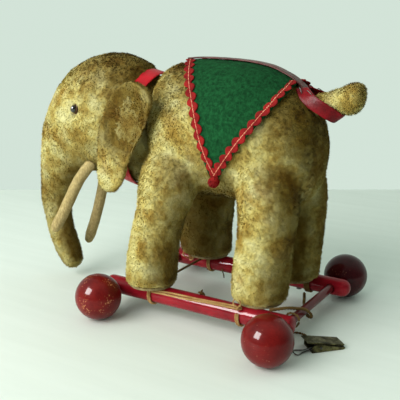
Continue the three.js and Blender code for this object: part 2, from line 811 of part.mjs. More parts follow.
// The spring's outer shape: a sleeve of wire turns round the pin.
function clipSpring() {
  const [inner, outer, half] = [CLIP_PIN_D / 2 + GAP, 2, 2.6];
  const section = [
    [inner, -half],
    [outer, -half],
    [outer, half],
    [inner, half],
    [inner, -half],
  ].map(([r, y]) => new THREE.Vector2(r, y));
  return new THREE.LatheGeometry(section, 12).translate(CLIP_PIN[0], 0, CLIP_PIN[1]);
}

// A bent wire loop that passes round the pin and lies on the floor, its ends a little apart.
const CLIP_LOOP = [
  [-14.3, -4.4, 0.9],
  [-14, -2.6, 0.9],
  [-12.5, -0.8, 0.9],
  [-6, -2.6, 1.2],
  [0, -3.8, 3],
  [4, -4.3, 5.1],
  [6.4, -4.3, 5.35],
  [8.2, -4.3, 3.6],
  [6.4, -4.3, 1.85],
  [3, -4.6, 1.8],
  [-2, -5, 1.8],
  [-7, -5.6, 1.1],
  [-12, -8.3, 0.9],
  [-13.9, -7.6, 0.9],
  [-14.3, -5.8, 0.9],
];

add("tether_cord", cordAlong(TETHER, TETHER_D, 18), FINISH.oldCord);
add("clip_body", onFloor(clipBody()), FINISH.bronze);
add("clip_jaw", onFloor(clipJaw()), FINISH.bronze);
add("clip_pin", onFloor(clipPin()), FINISH.steel);
add("clip_spring", onFloor(clipSpring()), FINISH.steel);
add("clip_loop", onFloor(cordAlong(CLIP_LOOP, CLIP_WIRE_D, 48, 6)), FINISH.steel);

toy.position.x = -MIDDLE_X;

export default toy;
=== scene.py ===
"""A stuffed mohair elephant on a red wooden wheel frame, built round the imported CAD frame.

Metres, +Z up, the floor at z = 0. The elephant faces -X and its left side is at -Y."""

import math

import bpy
import numpy as np
from mathutils import Matrix, Vector
from mathutils.bvhtree import BVHTree


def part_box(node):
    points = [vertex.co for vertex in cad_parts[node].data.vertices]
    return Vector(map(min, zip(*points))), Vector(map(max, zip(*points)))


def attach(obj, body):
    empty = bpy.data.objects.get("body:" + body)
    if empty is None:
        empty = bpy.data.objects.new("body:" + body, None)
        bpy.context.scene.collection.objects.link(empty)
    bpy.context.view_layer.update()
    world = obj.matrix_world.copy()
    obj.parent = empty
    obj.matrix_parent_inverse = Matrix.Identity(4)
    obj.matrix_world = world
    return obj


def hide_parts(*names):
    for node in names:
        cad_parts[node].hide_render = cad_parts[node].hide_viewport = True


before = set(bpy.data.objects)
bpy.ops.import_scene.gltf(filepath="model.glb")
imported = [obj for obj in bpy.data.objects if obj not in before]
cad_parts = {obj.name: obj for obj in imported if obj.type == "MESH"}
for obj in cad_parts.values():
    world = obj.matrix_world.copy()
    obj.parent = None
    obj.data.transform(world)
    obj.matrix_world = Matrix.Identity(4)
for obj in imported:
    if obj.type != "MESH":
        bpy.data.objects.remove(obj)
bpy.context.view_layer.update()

MM = 0.001
SIDES = (("left", -1), ("right", 1))
ENDS = (("front", -1), ("rear", 1))
CORNERS = [(f"{end_name}_{side_name}", end, side) for end_name, end in ENDS for side_name, side in SIDES]

# --- Places taken from the frame ---


def centre(node):
    low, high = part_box(node)
    return (low + high) / 2


def extent(node):
    low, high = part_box(node)
    return high - low


AXLE = {end: centre(f"{end}_axle") for end, _ in ENDS}
WHEELS_MIDDLE = np.array([(AXLE["front"].x + AXLE["rear"].x) / 2, 0, 0])
AXLE_Z = AXLE["front"].z
RAIL_RADIUS = extent("side_rail_left").z / 2
RAIL_Y = abs(centre("side_rail_left").y)


def placed(route):
    """A route given from the middle of the wheel frame, on the floor, in the row frame."""
    return np.array(route, float) + WHEELS_MIDDLE


def added(name, data):
    """A new object in the scene."""
    obj = bpy.data.objects.new(name, data)
    bpy.context.scene.collection.objects.link(obj)
    return obj


# --- The camera ---

CAMERA_AT = (0.312175, -0.476479, 0.231683)
CAMERA_PITCH = 14.0478  # degrees below level
CAMERA_TURN = 32.0445  # degrees from +Y towards -X
CAMERA_LENS = 61.03
SENSOR_WIDTH = 36

camera = added("camera", bpy.data.cameras.new("camera"))
camera.data.lens = CAMERA_LENS
camera.data.sensor_width = SENSOR_WIDTH
camera.location = CAMERA_AT
camera.rotation_euler = (math.radians(90 - CAMERA_PITCH), 0, math.radians(CAMERA_TURN))
bpy.context.scene.camera = camera
bpy.context.scene.view_settings.view_transform = "Standard"

# --- Material helpers ---


def link(tree, value, socket):
    if isinstance(value, bpy.types.NodeSocket):
        tree.links.new(value, socket)
    else:
        socket.default_value = value


def shader_node(tree, kind, output, inputs, **settings):
    """A new node's output. Its inputs are values or sockets, by the inputs' names or numbers."""
    node = tree.nodes.new("ShaderNode" + kind)
    for key, value in settings.items():
        setattr(node, key, value)
    for key, value in inputs.items():
        link(tree, value, node.inputs[key])
    return node.outputs[output]


class Nodes:
    """Short ways to add shader nodes to one material. Scales are features to the metre."""

    def __init__(self, name, **constants):
        self.material = bpy.data.materials.new(name)
        self.material.use_nodes = True
        self.tree = self.material.node_tree
        self.shader = self.tree.nodes["Principled BSDF"]
        for key, value in constants.items():
            socket = key.replace("_", " ").title().replace("Ior", "IOR")
            self.shader.inputs[socket].default_value = value

    def add(self, kind, output, inputs, **settings):
        return shader_node(self.tree, kind, output, inputs, **settings)

    def place(self):
        return self.add("TexCoord", "Object", {})

    def stretched(self, scale, turn=(0, 0, 0)):
        return self.add("Mapping", "Vector", {"Vector": self.place(), "Scale": scale, "Rotation": turn})

    def noise(self, scale, detail=3, roughness=0.55, where=None):
        inputs = {"Vector": where or self.place(), "Scale": scale, "Detail": detail, "Roughness": roughness}
        return self.add("TexNoise", "Fac", inputs)

    def warped(self, scale, amount):
        """The object's place, pushed about by noise."""
        place = self.place()
        push = self.add("TexNoise", "Color", {"Vector": place, "Scale": scale})
        inputs = {0: push, 1: [amount] * 3, 2: place}
        return self.add("VectorMath", "Vector", inputs, operation="MULTIPLY_ADD")

    def cells(self, where, scale):
        return self.add("TexVoronoi", "Distance", {"Vector": where, "Scale": scale})

    def ramp(self, factor, *stops):
        """Stops are (position, colour or grey)."""
        node = self.tree.nodes.new("ShaderNodeValToRGB")
        elements = node.color_ramp.elements
        while len(elements) < len(stops):
            elements.new(0.5)
        for element, (position, colour) in zip(elements, stops):
            element.position = position
            element.color = (*colour, 1) if isinstance(colour, tuple) else (colour, colour, colour, 1)
        link(self.tree, factor, node.inputs["Fac"])
        return node.outputs["Color"]

    def mix(self, factor, a, b, blend="MIX"):
        a, b = [(*colour, 1) if isinstance(colour, tuple) else colour for colour in (a, b)]
        inputs = {"Factor": factor, "A": a, "B": b}
        return self.add("Mix", "Result", inputs, data_type="RGBA", blend_type=blend)

    def darkened(self, share, colour, by):
        return self.mix(share, colour, by, "MULTIPLY")

    def math(self, operation, a, b):
        return self.add("Math", "Value", {0: a, 1: b}, operation=operation)

    def attribute(self, name):
        return self.add("Attribute", "Fac", {}, attribute_name=name)

    def bump(self, height, strength, distance):
        inputs = {"Height": height, "Strength": strength, "Distance": distance}
        link(self.tree, self.add("Bump", "Normal", inputs), self.shader.inputs["Normal"])

    def done(self, colour, roughness=None):
        link(self.tree, colour, self.shader.inputs["Base Color"])
        if roughness is not None:
            link(self.tree, roughness, self.shader.inputs["Roughness"])
        return self.material


# --- Materials ---


def mohair(name, root):
    """Short mohair pile: patches from olive to pale straw, golden hollows, and painted shade deep in the pile
    that darkens the roots under pale tips.

    The attributes tip, tuft and dark say how far up a blade a place is, its tuft's random tone and how much
    painted shade it takes."""
    n = Nodes(
        name,
        roughness=0.8,
        specular_ior_level=0.06,
        sheen_weight=0.05,
        sheen_roughness=0.4,
        sheen_tint=(1.0, 0.9, 0.5, 1),
    )
    patches = n.noise(62, detail=4, roughness=0.6, where=n.warped(40, 0.012))
    colour = n.ramp(
        patches,
        (0.36, (0.40, 0.28, 0.06)),
        (0.46, (0.56, 0.455, 0.135)),
        (0.54, (0.65, 0.575, 0.22)),
        (0.67, (0.73, 0.685, 0.335)),
    )
    hollows = n.ramp(n.noise(42, where=n.warped(30, 0.015)), (0.53, 0), (0.64, 0.6))
    colour = n.mix(hollows, colour, (0.36, 0.215, 0.03))
    grain = n.ramp(n.noise(620, detail=2, roughness=0.7), (0.35, 0.8), (0.6, 1.0))
    colour = n.darkened(0.8, colour, grain)
    # Painted shade deep in the pile: darker towards the blades' roots and in the skin's low places.
    colour = n.darkened(1.0, colour, n.ramp(n.attribute("tip"), (0.0, root), (0.8, 1.0)))
    colour = n.darkened(1.0, colour, n.ramp(n.attribute("tuft"), (0.0, 0.86), (0.8, 1.0)))
    # Painted shade: darker where the dark attribute says, on top and behind, inside the legs, under the
    # belly, by the ears and low on the head.
    colour = n.mix(n.attribute("dark"), colour, n.darkened(1.0, colour, (0.24, 0.162, 0.03)))
    n.bump(n.noise(900, detail=2), 0.4, 0.0005)
    return n.done(colour)


def felt(name, dark, light):
    """Pressed wool: mottled colour with short fibres lying every way."""
    n = Nodes(name, roughness=0.95, specular_ior_level=0.05)
    colour = n.ramp(n.noise(320, detail=5, roughness=0.7), (0.34, dark), (0.68, light))
    across = n.noise(1, detail=2, where=n.stretched((300, 1500, 300), (0.4, 0.2, 0.7)))
    down = n.noise(1, detail=2, where=n.stretched((1500, 300, 300), (0.3, 0.5, 0.2)))
    fibres = n.math("MAXIMUM", across, down)
    colour = n.darkened(0.7, colour, n.ramp(fibres, (0.42, 0.55), (0.66, 1.0)))
    colour = n.mix(n.ramp(fibres, (0.62, 0.0), (0.74, 0.5)), colour, light)
    n.bump(fibres, 0.6, 0.0005)
    return n.done(colour)


def gloss_paint(name, dark, light, chip, chips_from=0.37):
    """Old enamel on turned wood: uneven colour, rubbed and chipped in small spots, faint grain under it."""
    n = Nodes(name, coat_weight=0.55, coat_roughness=0.03, coat_ior=1.36, specular_ior_level=0.03)
    colour = n.ramp(n.noise(45, detail=4), (0.35, dark), (0.65, light))
    streaks = n.noise(1, detail=2, where=n.stretched((60, 900, 900)))
    colour = n.darkened(0.35, colour, n.ramp(streaks, (0.35, 0.55), (0.65, 1.0)))
    spots = n.math("MULTIPLY", n.noise(600, detail=3, roughness=0.7), n.noise(60))
    chips = n.ramp(spots, (chips_from, 0), (chips_from + 0.02, 1))
    colour = n.mix(chips, colour, chip)
    n.bump(n.math("SUBTRACT", n.noise(110, detail=2), chips), 0.25, 0.0004)
    return n.done(colour, n.ramp(n.noise(150, detail=4), (0.3, 0.3), (0.7, 0.5)))


def leather_cloth(name, dark, light):
    """Thin shiny leather cloth: fine grain, creased darker."""
    n = Nodes(name, specular_ior_level=0.13)
    colour = n.ramp(n.noise(70, detail=5), (0.36, dark), (0.64, light))
    grain = n.cells(n.warped(300, 0.0008), 1500)
    colour = n.darkened(0.35, colour, n.ramp(grain, (0.0, 0.6), (0.5, 1.0)))
    n.bump(grain, 0.35, 0.0003)
    return n.done(colour, n.ramp(n.noise(200, detail=3), (0.35, 0.3), (0.65, 0.48)))


def yarn(name, dark, light, scale=1600):
    """Spun yarn or cord: fibres, with painted shade in their hollows that leaves the high spots lighter."""
    n = Nodes(name, roughness=0.88, specular_ior_level=0.08)
    colour = n.ramp(n.noise(120, detail=4), (0.35, dark), (0.65, light))
    fibres = n.noise(scale, detail=3, roughness=0.7)
    # Painted shade: darker where the fibres' bump is low.
    colour = n.darkened(0.8, colour, n.ramp(fibres, (0.3, 0.45), (0.65, 1.0)))
    n.bump(fibres, 0.6, 0.0004)
    return n.done(colour)


def metal(name, dark, light, tarnish):
    """Old metal: tarnished in blotches, brighter where it is rubbed, finely scratched."""
    n = Nodes(name, metallic=0.85)
    blotches = n.noise(220, detail=5, roughness=0.65)
    colour = n.ramp(blotches, (0.34, tarnish), (0.5, dark), (0.68, light))
    n.bump(n.noise(1, detail=1, where=n.stretched((3000, 300, 300), (0, 0, 0.8))), 0.15, 0.0002)
    return n.done(colour, n.ramp(blotches, (0.35, 0.6), (0.65, 0.3)))


def painted_table():
    """Pale brushed paint, its strokes running away from the camera."""
    n = Nodes("table_paint", roughness=0.6)
    brush = n.noise(1, detail=4, where=n.stretched((5, 60, 5), (0, 0, math.radians(CAMERA_TURN))))
    return n.done(n.ramp(brush, (0.3, (0.70, 0.76, 0.715)), (0.7, (0.74, 0.80, 0.755))))


def glass_eye():
    """Nearly black glass, a little brown in its depth."""
    n = Nodes("glass_eye", roughness=0.09, specular_ior_level=1.0)
    depth = n.noise(260, detail=2)
    return n.done(n.ramp(depth, (0.4, (0.002, 0.0015, 0.001)), (0.7, (0.010, 0.004, 0.002))))


MOHAIR_SKIN = mohair("mohair_backing", 0.7)
MOHAIR_PILE = mohair("mohair_pile", 0.8)
GREEN_FELT = felt("green_felt", (0.003, 0.034, 0.010), (0.010, 0.095, 0.028))
TUSK_FELT = felt("tusk_felt", (0.36, 0.27, 0.11), (0.52, 0.41, 0.19))
SOLE_FELT = felt("sole_felt", (0.22, 0.17, 0.08), (0.34, 0.27, 0.13))
RAIL_PAINT = gloss_paint("rail_paint", (0.18, 0.004, 0.010), (0.31, 0.009, 0.018), (0.08, 0.025, 0.02), 0.36)
AXLE_PAINT = gloss_paint("axle_paint", (0.10, 0.008, 0.010), (0.16, 0.012, 0.015), (0.08, 0.035, 0.02))
BALL_PAINT = gloss_paint("ball_paint", (0.095, 0.004, 0.004), (0.165, 0.007, 0.006), (0.30, 0.09, 0.05), 0.41)
RUBBED_PAINT = gloss_paint(
    "rubbed_ball_paint", (0.11, 0.005, 0.005), (0.19, 0.009, 0.007), (0.42, 0.15, 0.06), 0.35
)
# A darker copy of the ball paint for the far rear ball: painted shade.
SHADED_BALL_PAINT = gloss_paint(
    "shaded_ball_paint", (0.035, 0.003, 0.005), (0.06, 0.004, 0.006), (0.14, 0.05, 0.03), 0.42
)
BALL_PAINTS = {
    "front_left": RUBBED_PAINT,
    "front_right": BALL_PAINT,
    "rear_left": BALL_PAINT,
    "rear_right": SHADED_BALL_PAINT,
}
COLLAR_RED = leather_cloth("collar_red", (0.34, 0.004, 0.010), (0.50, 0.008, 0.018))
STRAP_RED = leather_cloth("strap_red", (0.075, 0.026, 0.024), (0.15, 0.052, 0.046))
CRUPPER_RED = leather_cloth("crupper_red", (0.10, 0.003, 0.005), (0.24, 0.003, 0.008))
BRAID_RED = yarn("braid_red", (0.19, 0.006, 0.007), (0.36, 0.014, 0.013), 2400)
STITCH_PINK = yarn("stitch_pink", (0.72, 0.26, 0.15), (0.92, 0.42, 0.27), 3000)
TAN_CORD = yarn("tan_cord", (0.40, 0.215, 0.07), (0.62, 0.39, 0.16))
OLD_CORD = yarn("old_cord", (0.10, 0.055, 0.018), (0.21, 0.125, 0.04))
BRONZE = metal("old_bronze", (0.07, 0.06, 0.022), (0.20, 0.18, 0.08), (0.015, 0.012, 0.006))
STEEL = metal("old_steel", (0.10, 0.095, 0.09), (0.3, 0.29, 0.28), (0.03, 0.02, 0.015))
EYE_GLASS = glass_eye()
EYELID = leather_cloth("eyelid", (0.03, 0.012, 0.006), (0.08, 0.035, 0.018))

# --- Mesh helpers ---


def unit(v):
    return v / np.maximum(np.linalg.norm(v, axis=-1, keepdims=True), 1e-12)


def share_above(values, start, reach):
    """0 up to start, rising to 1 at reach above it."""
    return np.clip((values - start) / reach, 0, 1)


def share_below(values, start, reach):
    return np.clip((start - values) / reach, 0, 1)


def squared(line, outs):
    """The ways across a line and out of it, from rough ways out."""
    along = unit(np.gradient(line, axis=0))
    sides = unit(np.cross(along, outs))
    return sides, np.cross(sides, along)


def full_turn(count):
    """Angles evenly round a circle."""
    return np.linspace(0, 2 * math.pi, count, endpoint=False)


def spun(turn, across, up):
    """Unit ways round a circle, at angles from across towards up."""
    return np.cos(turn)[:, None] * across + np.sin(turn)[:, None] * up


def mesh_of(name, vertices, faces):
    mesh = bpy.data.meshes.new(name)
    mesh.from_pydata(np.asarray(vertices).tolist(), [], [list(map(int, face)) for face in faces])
    return mesh


def finished(obj, material, slot, *nodes, body="frame"):
    """Gives an object its material and its body. It stands for nodes of the CAD, if any are named."""
    obj.data.polygons.foreach_set("use_smooth", [True] * len(obj.data.polygons))
    obj.data.materials.clear()
    obj.data.materials.append(material)
    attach(obj, body)
    if nodes:
        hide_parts(*nodes)
    return obj


def piece(name, vertices, faces, material, slot, *nodes, body="frame"):
    """A mesh object that rides on a CAD body and stands for nodes of it."""
    mesh = mesh_of(name, vertices, faces)
    mesh.validate()
    return finished(added(name, mesh), material, slot, *nodes, body=body)


def modified(obj, kind, **settings):
    modifier = obj.modifiers.new(kind.lower(), kind)
    for key, value in settings.items():
        setattr(modifier, key, value)


def applied(obj):
    """Gives an object the mesh that its modifiers make of it."""
    graph = bpy.context.evaluated_depsgraph_get()
    made = bpy.data.meshes.new_from_object(obj.evaluated_get(graph))
    obj.modifiers.clear()
    obj.data = made


def merged(parts):
    """Several (vertices, faces) as one."""
    vertices, faces, count = [], [], 0
    for part_vertices, part_faces in parts:
        vertices.append(np.asarray(part_vertices))
        faces += [[i + count for i in face] for face in part_faces]
        count += len(part_vertices)
    return np.vstack(vertices), faces


def smooth_route(points, step):
    """Points a step apart on the smooth curve through a route."""
    p = np.array(points, float)
    ends = np.vstack([2 * p[0] - p[1], p, 2 * p[-1] - p[-2]])
    fine = []
    for i in range(1, len(ends) - 2):
        a, b, c, d = ends[i - 1 : i + 3]
        for t in np.linspace(0, 1, 12, endpoint=False):
            bend = (2 * a - 5 * b + 4 * c - d) * t**2 + (3 * b - a - 3 * c + d) * t**3
            fine.append(0.5 * (2 * b + (c - a) * t + bend))
    fine = np.array([*fine, p[-1]])
    run = np.concatenate([[0], np.cumsum(np.linalg.norm(np.diff(fine, axis=0), axis=1))])
    at = np.linspace(0, run[-1], max(2, round(run[-1] / step)) + 1)
    return np.column_stack([np.interp(at, run, fine[:, i]) for i in range(fine.shape[1])])


def crossways(line):
    """Two unit vectors across a line at each of its points, which turn as little as they can."""
    along = unit(np.gradient(line, axis=0))
    side = np.cross(along[0], (0, 0, 1) if abs(along[0][2]) < 0.9 else (1, 0, 0))
    sides = []
    for direction in along:
        side = unit(side - direction * side.dot(direction))
        sides.append(side)
    sides = np.array(sides)
    return sides, np.cross(along, sides)


def grid_faces(rows, columns, closed=False):
    """The quads of a grid of points, numbered row by row. closed joins its last column to its first."""
    across = [(c, (c + 1) % columns) for c in range(columns if closed else columns - 1)]
    starts = [r * columns for r in range(rows - 1)]
    return [[at + c, at + d, at + columns + d, at + columns + c] for at in starts for c, d in across]


def sweep(line, sides, outs, section, taper=None):
    """A closed section of (side, out) points, or one for each row, carried along a line and capped."""
    section = np.array(section)
    section = section if section.ndim == 3 else section[None]
    size = np.ones(len(line)) if taper is None else np.asarray(taper)
    ring = line[:, None] + size[:, None, None] * (
        sides[:, None] * section[..., :1] + outs[:, None] * section[..., 1:]
    )
    rows, count = len(line), section.shape[1]
    faces = grid_faces(rows, count, closed=True)
    faces += [list(range(count))[::-1], [(rows - 1) * count + c for c in range(count)]]
    return ring.reshape(-1, 3), faces


def circle(radius, count):
    turn = full_turn(count)
    return np.column_stack([radius * np.cos(turn), radius * np.sin(turn)])


def flat_section(width, thickness, count):
    """A strap's section, its thin edges rounded, resting on the line that it is carried along."""
    turn = full_turn(count) + math.pi / count
    wide, thick = np.cos(turn), np.sin(turn)
    side = np.sign(wide) * np.abs(wide) ** 0.35 * width / 2
    out = np.sign(thick) * np.abs(thick) ** 0.6 * thickness / 2 + thickness / 2
    return np.column_stack([side, out])


def rounded_ends(count, reach):
    """A taper that closes both ends of a swept tube in a dome over reach points."""
    from_end = np.minimum(np.arange(count), np.arange(count)[::-1])
    share = np.clip((from_end + 0.15) / reach, 0, 1)
    return np.sqrt(1 - (1 - share) ** 2)


def round_wire(line, radius, sides, taper=None):
    return sweep(line, *crossways(line), circle(radius, sides), taper)


ROPE_STEP = 0.5 * MM
ROPE_PITCH = 3.2  # one turn's length in diameters
STRAND_SIDES = 7


def rope(points, diameter, strands=3):
    """Twisted strands along a route."""
    line = smooth_route(points, ROPE_STEP)
    across, up = crossways(line)
    run = np.arange(len(line)) * ROPE_STEP
    share = 0.5 if strands < 3 else 0.46
    radius, reach = diameter / 2 * share * 1.08, diameter / 2 * (1 - share)
    parts = []
    for strand in range(strands):
        turn = 2 * math.pi * (run / (ROPE_PITCH * diameter) + strand / strands)
        centres = line + reach * spun(turn, across, up)
        parts.append(round_wire(centres, radius, STRAND_SIDES, rounded_ends(len(line), 3)))
    return merged(parts)


def lathe(profile, axis_at, axis, sides):
    """A solid of revolution. The profile is (radius, how far along the axis), from axis back to axis."""
    axis = unit(np.array(axis, float))
    across = unit(np.cross(axis, (0, 0, 1)))
    up = np.cross(axis, across)
    radial = spun(full_turn(sides), across, up)
    rings = [np.array(axis_at) + axis * s + r * radial for r, s in profile[1:-1]]
    poles = [np.array(axis_at) + axis * profile[end][1] for end in (0, -1)]
    first_pole, last_ring = len(rings) * sides, (len(rings) - 1) * sides
    faces = grid_faces(len(rings), sides, closed=True)
    for c in range(sides):
        d = (c + 1) % sides
        faces += [[first_pole, d, c], [first_pole + 1, last_ring + c, last_ring + d]]
    return np.vstack([*rings, *poles]), faces


def hashed(cells, seed):
    """A number from -1 to 1 for each whole-number cell."""
    h = cells[:, 0] * 374761393 + cells[:, 1] * 668265263 + cells[:, 2] * 2147483629 + seed * 1274126177
    h = (h ^ (h >> 13)) * 1274126177
    return ((h ^ (h >> 16)) & 0xFFFFFF) / 0x7FFFFF - 1


def lumps(points, size, seed):
    """Smooth noise from -1 to 1 at points, with features about that size."""
    at = points / size
    cell = np.floor(at).astype(np.int64)
    t = at - cell
    t = t * t * (3 - 2 * t)
    total = np.zeros(len(points))
    for corner in np.ndindex(2, 2, 2):
        weight = np.prod(np.where(corner, t, 1 - t), axis=1)
        total += weight * hashed(cell + np.array(corner), seed)
    return total


def vector_lumps(points, size, seed):
    return np.column_stack([lumps(points, size, seed + axis) for axis in range(3)])


def read(collection, key, width, kind=np.float32):
    """One property of every item of a mesh's collection, a row for each item."""
    found = np.zeros(len(collection) * width, kind)
    collection.foreach_get(key, found)
    return found.reshape(-1, width)


def coordinates(mesh):
    return read(mesh.vertices, "co", 3).astype(float)


def vertex_normals(mesh):
    return read(mesh.vertex_normals, "vector", 3).astype(float)


def faces_of(mesh):
    return [list(face.vertices) for face in mesh.polygons]


def move_vertices(mesh, points):
    mesh.vertices.foreach_set("co", points.astype(np.float32).ravel())
    mesh.update()


def soft_form(name, nodes, voxel, smoothing, swell=0.0):
    """One smooth mesh round CAD nodes: joined a little swollen, remeshed, smoothed and subdivided."""
    parts = []
    for node in nodes:
        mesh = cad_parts[node].data
        parts.append((coordinates(mesh) + swell * vertex_normals(mesh), faces_of(mesh)))
    obj = added(name, mesh_of(name, *merged(parts)))
    modified(obj, "WELD", merge_threshold=0.00001)
    modified(obj, "REMESH", mode="VOXEL", voxel_size=voxel)
    modified(obj, "SMOOTH", factor=0.5, iterations=smoothing)
    modified(obj, "SUBSURF", levels=1, render_levels=1)
    applied(obj)
    return obj


def stuffed(obj, material, slot, *nodes, fill):
    """Gives a soft form its material and body, so that it stands for nodes of the CAD."""
    finished(obj, material, slot, *nodes)
    return obj


def push_out(mesh, distance):
    move_vertices(mesh, coordinates(mesh) + np.reshape(distance, (-1, 1)) * vertex_normals(mesh))


def float_attribute(mesh, name, values):
    attribute = mesh.attributes.new(name, "FLOAT", "POINT")
    attribute.data.foreach_set("value", np.asarray(values, np.float32))


def surface_of(*objects):
    """A BVH tree of objects' faces, for finding what lies over a place."""
    vertices, faces = merged([(coordinates(obj.data), faces_of(obj.data)) for obj in objects])
    return BVHTree.FromPolygons(vertices.tolist(), faces)


# --- Plush ---

PILE_DEPTH = 0.8 * MM  # the backing lies this far under the CAD skin
PILE_SPACING = 1.3 * MM
TUFT_BLADES = 6
TUFT_SPREAD = 0.42 * PILE_SPACING
ROOT_DEPTH = 0.3 * MM
TIP_STRAY = 0.2 * MM
BLADE_HALF_WIDTH = (0.12, 0.22)  # mm
BLADE_RELIEF = 0.65  # how far a blade's own face, rather than the skin's, shades it


def plush_lie(points, normals):
    """Which way the pile is brushed: down and back, turned about in swirls a finger wide."""
    brushed = np.array([0.35, 0, -1.0]) + 1.5 * vector_lumps(points, 0.016, 3)
    brushed += 0.7 * vector_lumps(points, 0.005, 9)
    return unit(brushed - normals * np.sum(brushed * normals, axis=1, keepdims=True))


def clumped(obj):
    """Sinks a plush skin under its pile and gathers it into small clumps."""
    at = coordinates(obj.data)
    clumps = 0.3 * lumps(at, 0.0026, 21) + 0.2 * lumps(at, 0.0013, 22)
    hollows = 0.5 * lumps(at, 0.013, 23)
    push_out(obj.data, -PILE_DEPTH + MM * (clumps + hollows))
    rng = np.random.default_rng(5)
    # Painted shade deep in the pile: the skin is darker where its clumps sink.
    float_attribute(obj.data, "tip", np.clip(0.35 + 0.5 * clumps, 0, 1))
    float_attribute(obj.data, "tuft", np.clip(0.7 + 0.2 * rng.standard_normal(len(at)), 0, 1))


def strewn(mesh, rng):
    """Random places spread evenly over a skin, with their normals and the painted shade there."""
    mesh.calc_loop_triangles()
    corners = read(mesh.loop_triangles, "vertices", 3, np.int32)
    at, across = coordinates(mesh), vertex_normals(mesh)
    a, b, c = at[corners[:, 0]], at[corners[:, 1]], at[corners[:, 2]]
    area = np.linalg.norm(np.cross(b - a, c - a), axis=1) / 2
    count = int(area.sum() / PILE_SPACING**2)
    chosen = rng.choice(len(area), count, p=area / area.sum())
    u, v = rng.random((2, count, 1))
    u, v = np.where(u + v > 1, 1 - u, u), np.where(u + v > 1, 1 - v, v)
    places = a[chosen] + u * (b - a)[chosen] + v * (c - a)[chosen]
    darkness = read(mesh.attributes["dark"].data, "value", 1)[:, 0]
    return places, unit(across[corners[chosen]].mean(axis=1)), darkness[corners[chosen]].mean(axis=1)


def pile(name, skin, length, seed, keep):
    """Tufts of fine blades, about length long, on a plush skin. keep says which places have pile."""
    rng = np.random.default_rng(seed)
    roots, normals, dark = strewn(skin.data, rng)
    kept = keep(roots, normals)
    roots, normals, dark = roots[kept], normals[kept], dark[kept]
    count = len(roots)
    lie = plush_lie(roots, normals)
    steep = rng.uniform(0.55, 1.1, (count, 1))
    reach = length * rng.uniform(0.7, 1.15, (count, 1))
    tips = roots + reach * unit(normals * steep + lie * 0.8)
    shade = rng.random(count)
    vertices, tuft, shading = [], [], []
    for _ in range(TUFT_BLADES):
        spread = rng.normal(0, TUFT_SPREAD, (count, 3))
        spread -= normals * np.sum(spread * normals, axis=1, keepdims=True)
        foot = roots + spread - normals * ROOT_DEPTH
        tip = tips + spread * 0.6 + rng.normal(0, TIP_STRAY, (count, 3))
        rise = tip - foot
        width = unit(np.cross(rise, rng.normal(0, 1, (count, 3))))
        facing = np.cross(width, unit(rise))
        turned = np.where(np.sum(facing * normals, axis=1, keepdims=True) < 0, -1, 1)
        width *= turned * rng.uniform(*BLADE_HALF_WIDTH, (count, 1)) * MM
        shading.append(np.repeat(unit(normals + BLADE_RELIEF * turned * facing), 3, axis=0))
        vertices.append(np.stack([foot - width, foot + width, tip], axis=1))
        tuft.append(np.repeat(np.clip(shade + rng.normal(0, 0.15, count), 0, 1), 3))
    vertices = np.concatenate(vertices).reshape(-1, 3)
    faces = np.arange(len(vertices)).reshape(-1, 3)
    obj = piece(name, vertices, faces, MOHAIR_PILE, "plush")
    obj.data.normals_split_custom_set_from_vertices(np.concatenate(shading).tolist())
    float_attribute(obj.data, "tip", np.tile([0.0, 0.0, 1.0], TUFT_BLADES * count))
    float_attribute(obj.data, "tuft", np.concatenate(tuft))
    # The skin's painted shade, carried up each tuft's blades.
    float_attribute(obj.data, "dark", np.tile(np.repeat(dark, 3), TUFT_BLADES))


# Where the stuffing fills the plush out: places, how far each reaches and how far it swells.
THROAT = (-0.084, -0.003, 0.108)
THROAT_REACH, THROAT_SWELL = 0.026, 0.011
CHEST = (-0.070, 0.026, 0.108)
CHEST_REACH, CHEST_SWELL = 0.030, 0.009
CALF_WAY, CALF_HEIGHT = (-0.85, -0.53), 0.060  # forward and inward, in radii of the leg's foot
CALF_REACH, CALF_SWELL = 0.034, 0.0125
ROUNDED = 0.8  # makes a swelling blunter than a cone


def filled_out(obj, place, reach, swell, power=ROUNDED):
    away = np.linalg.norm(coordinates(obj.data) - place, axis=1)
    push_out(obj.data, swell * np.clip(1 - away / reach, 0, 1) ** power)


LEGS = [f"leg_{where}" for where, _, _ in CORNERS]
body_form = soft_form("plush_body", ["torso", *LEGS], 0.0025, 6, swell=0.0005)
head_form = soft_form("plush_head", ["head"], 0.0021, 5)
filled_out(body_form, placed(THROAT), THROAT_REACH, THROAT_SWELL)
for _, side in SIDES:
    filled_out(body_form, placed(np.array(CHEST) * np.array([1, side, 1])), CHEST_REACH, CHEST_SWELL, 1)
right_foot, foot_radius = centre("foot_sole_front_right"), extent("foot_sole_front_right").x / 2
calf = (right_foot.x + CALF_WAY[0] * foot_radius, right_foot.y + CALF_WAY[1] * foot_radius, CALF_HEIGHT)
filled_out(body_form, calf, CALF_REACH, CALF_SWELL)
filled_out(head_form, placed(THROAT), THROAT_REACH, THROAT_SWELL)
torso_surface = surface_of(body_form)
neck_surface = surface_of(body_form, head_form)
TORSO_MIDDLE_Z = centre("torso").z
RAY_REACH = 0.09  # from clear of the plush in to the torso's middle


def outermost(surface, x, angle):
    """Where a surface is met from outside, at x and degrees from the spine to the left, and the way out."""
    turn = math.radians(angle)
    out = Vector((0, -math.sin(turn), math.cos(turn)))
    start = Vector((x, 0, TORSO_MIDDLE_Z)) + out * RAY_REACH
    return surface.ray_cast(start, -out, RAY_REACH)[0], out


def over_torso(x, angle, height):
    """A point over the body, height off its skin."""
    hit, out = outermost(torso_surface, x, angle)
    if hit is None:
        raise RuntimeError(f"no torso at x {x}, angle {angle}")
    return np.array(hit + out * height)


# --- Saddle cloth, braid and pom-poms ---

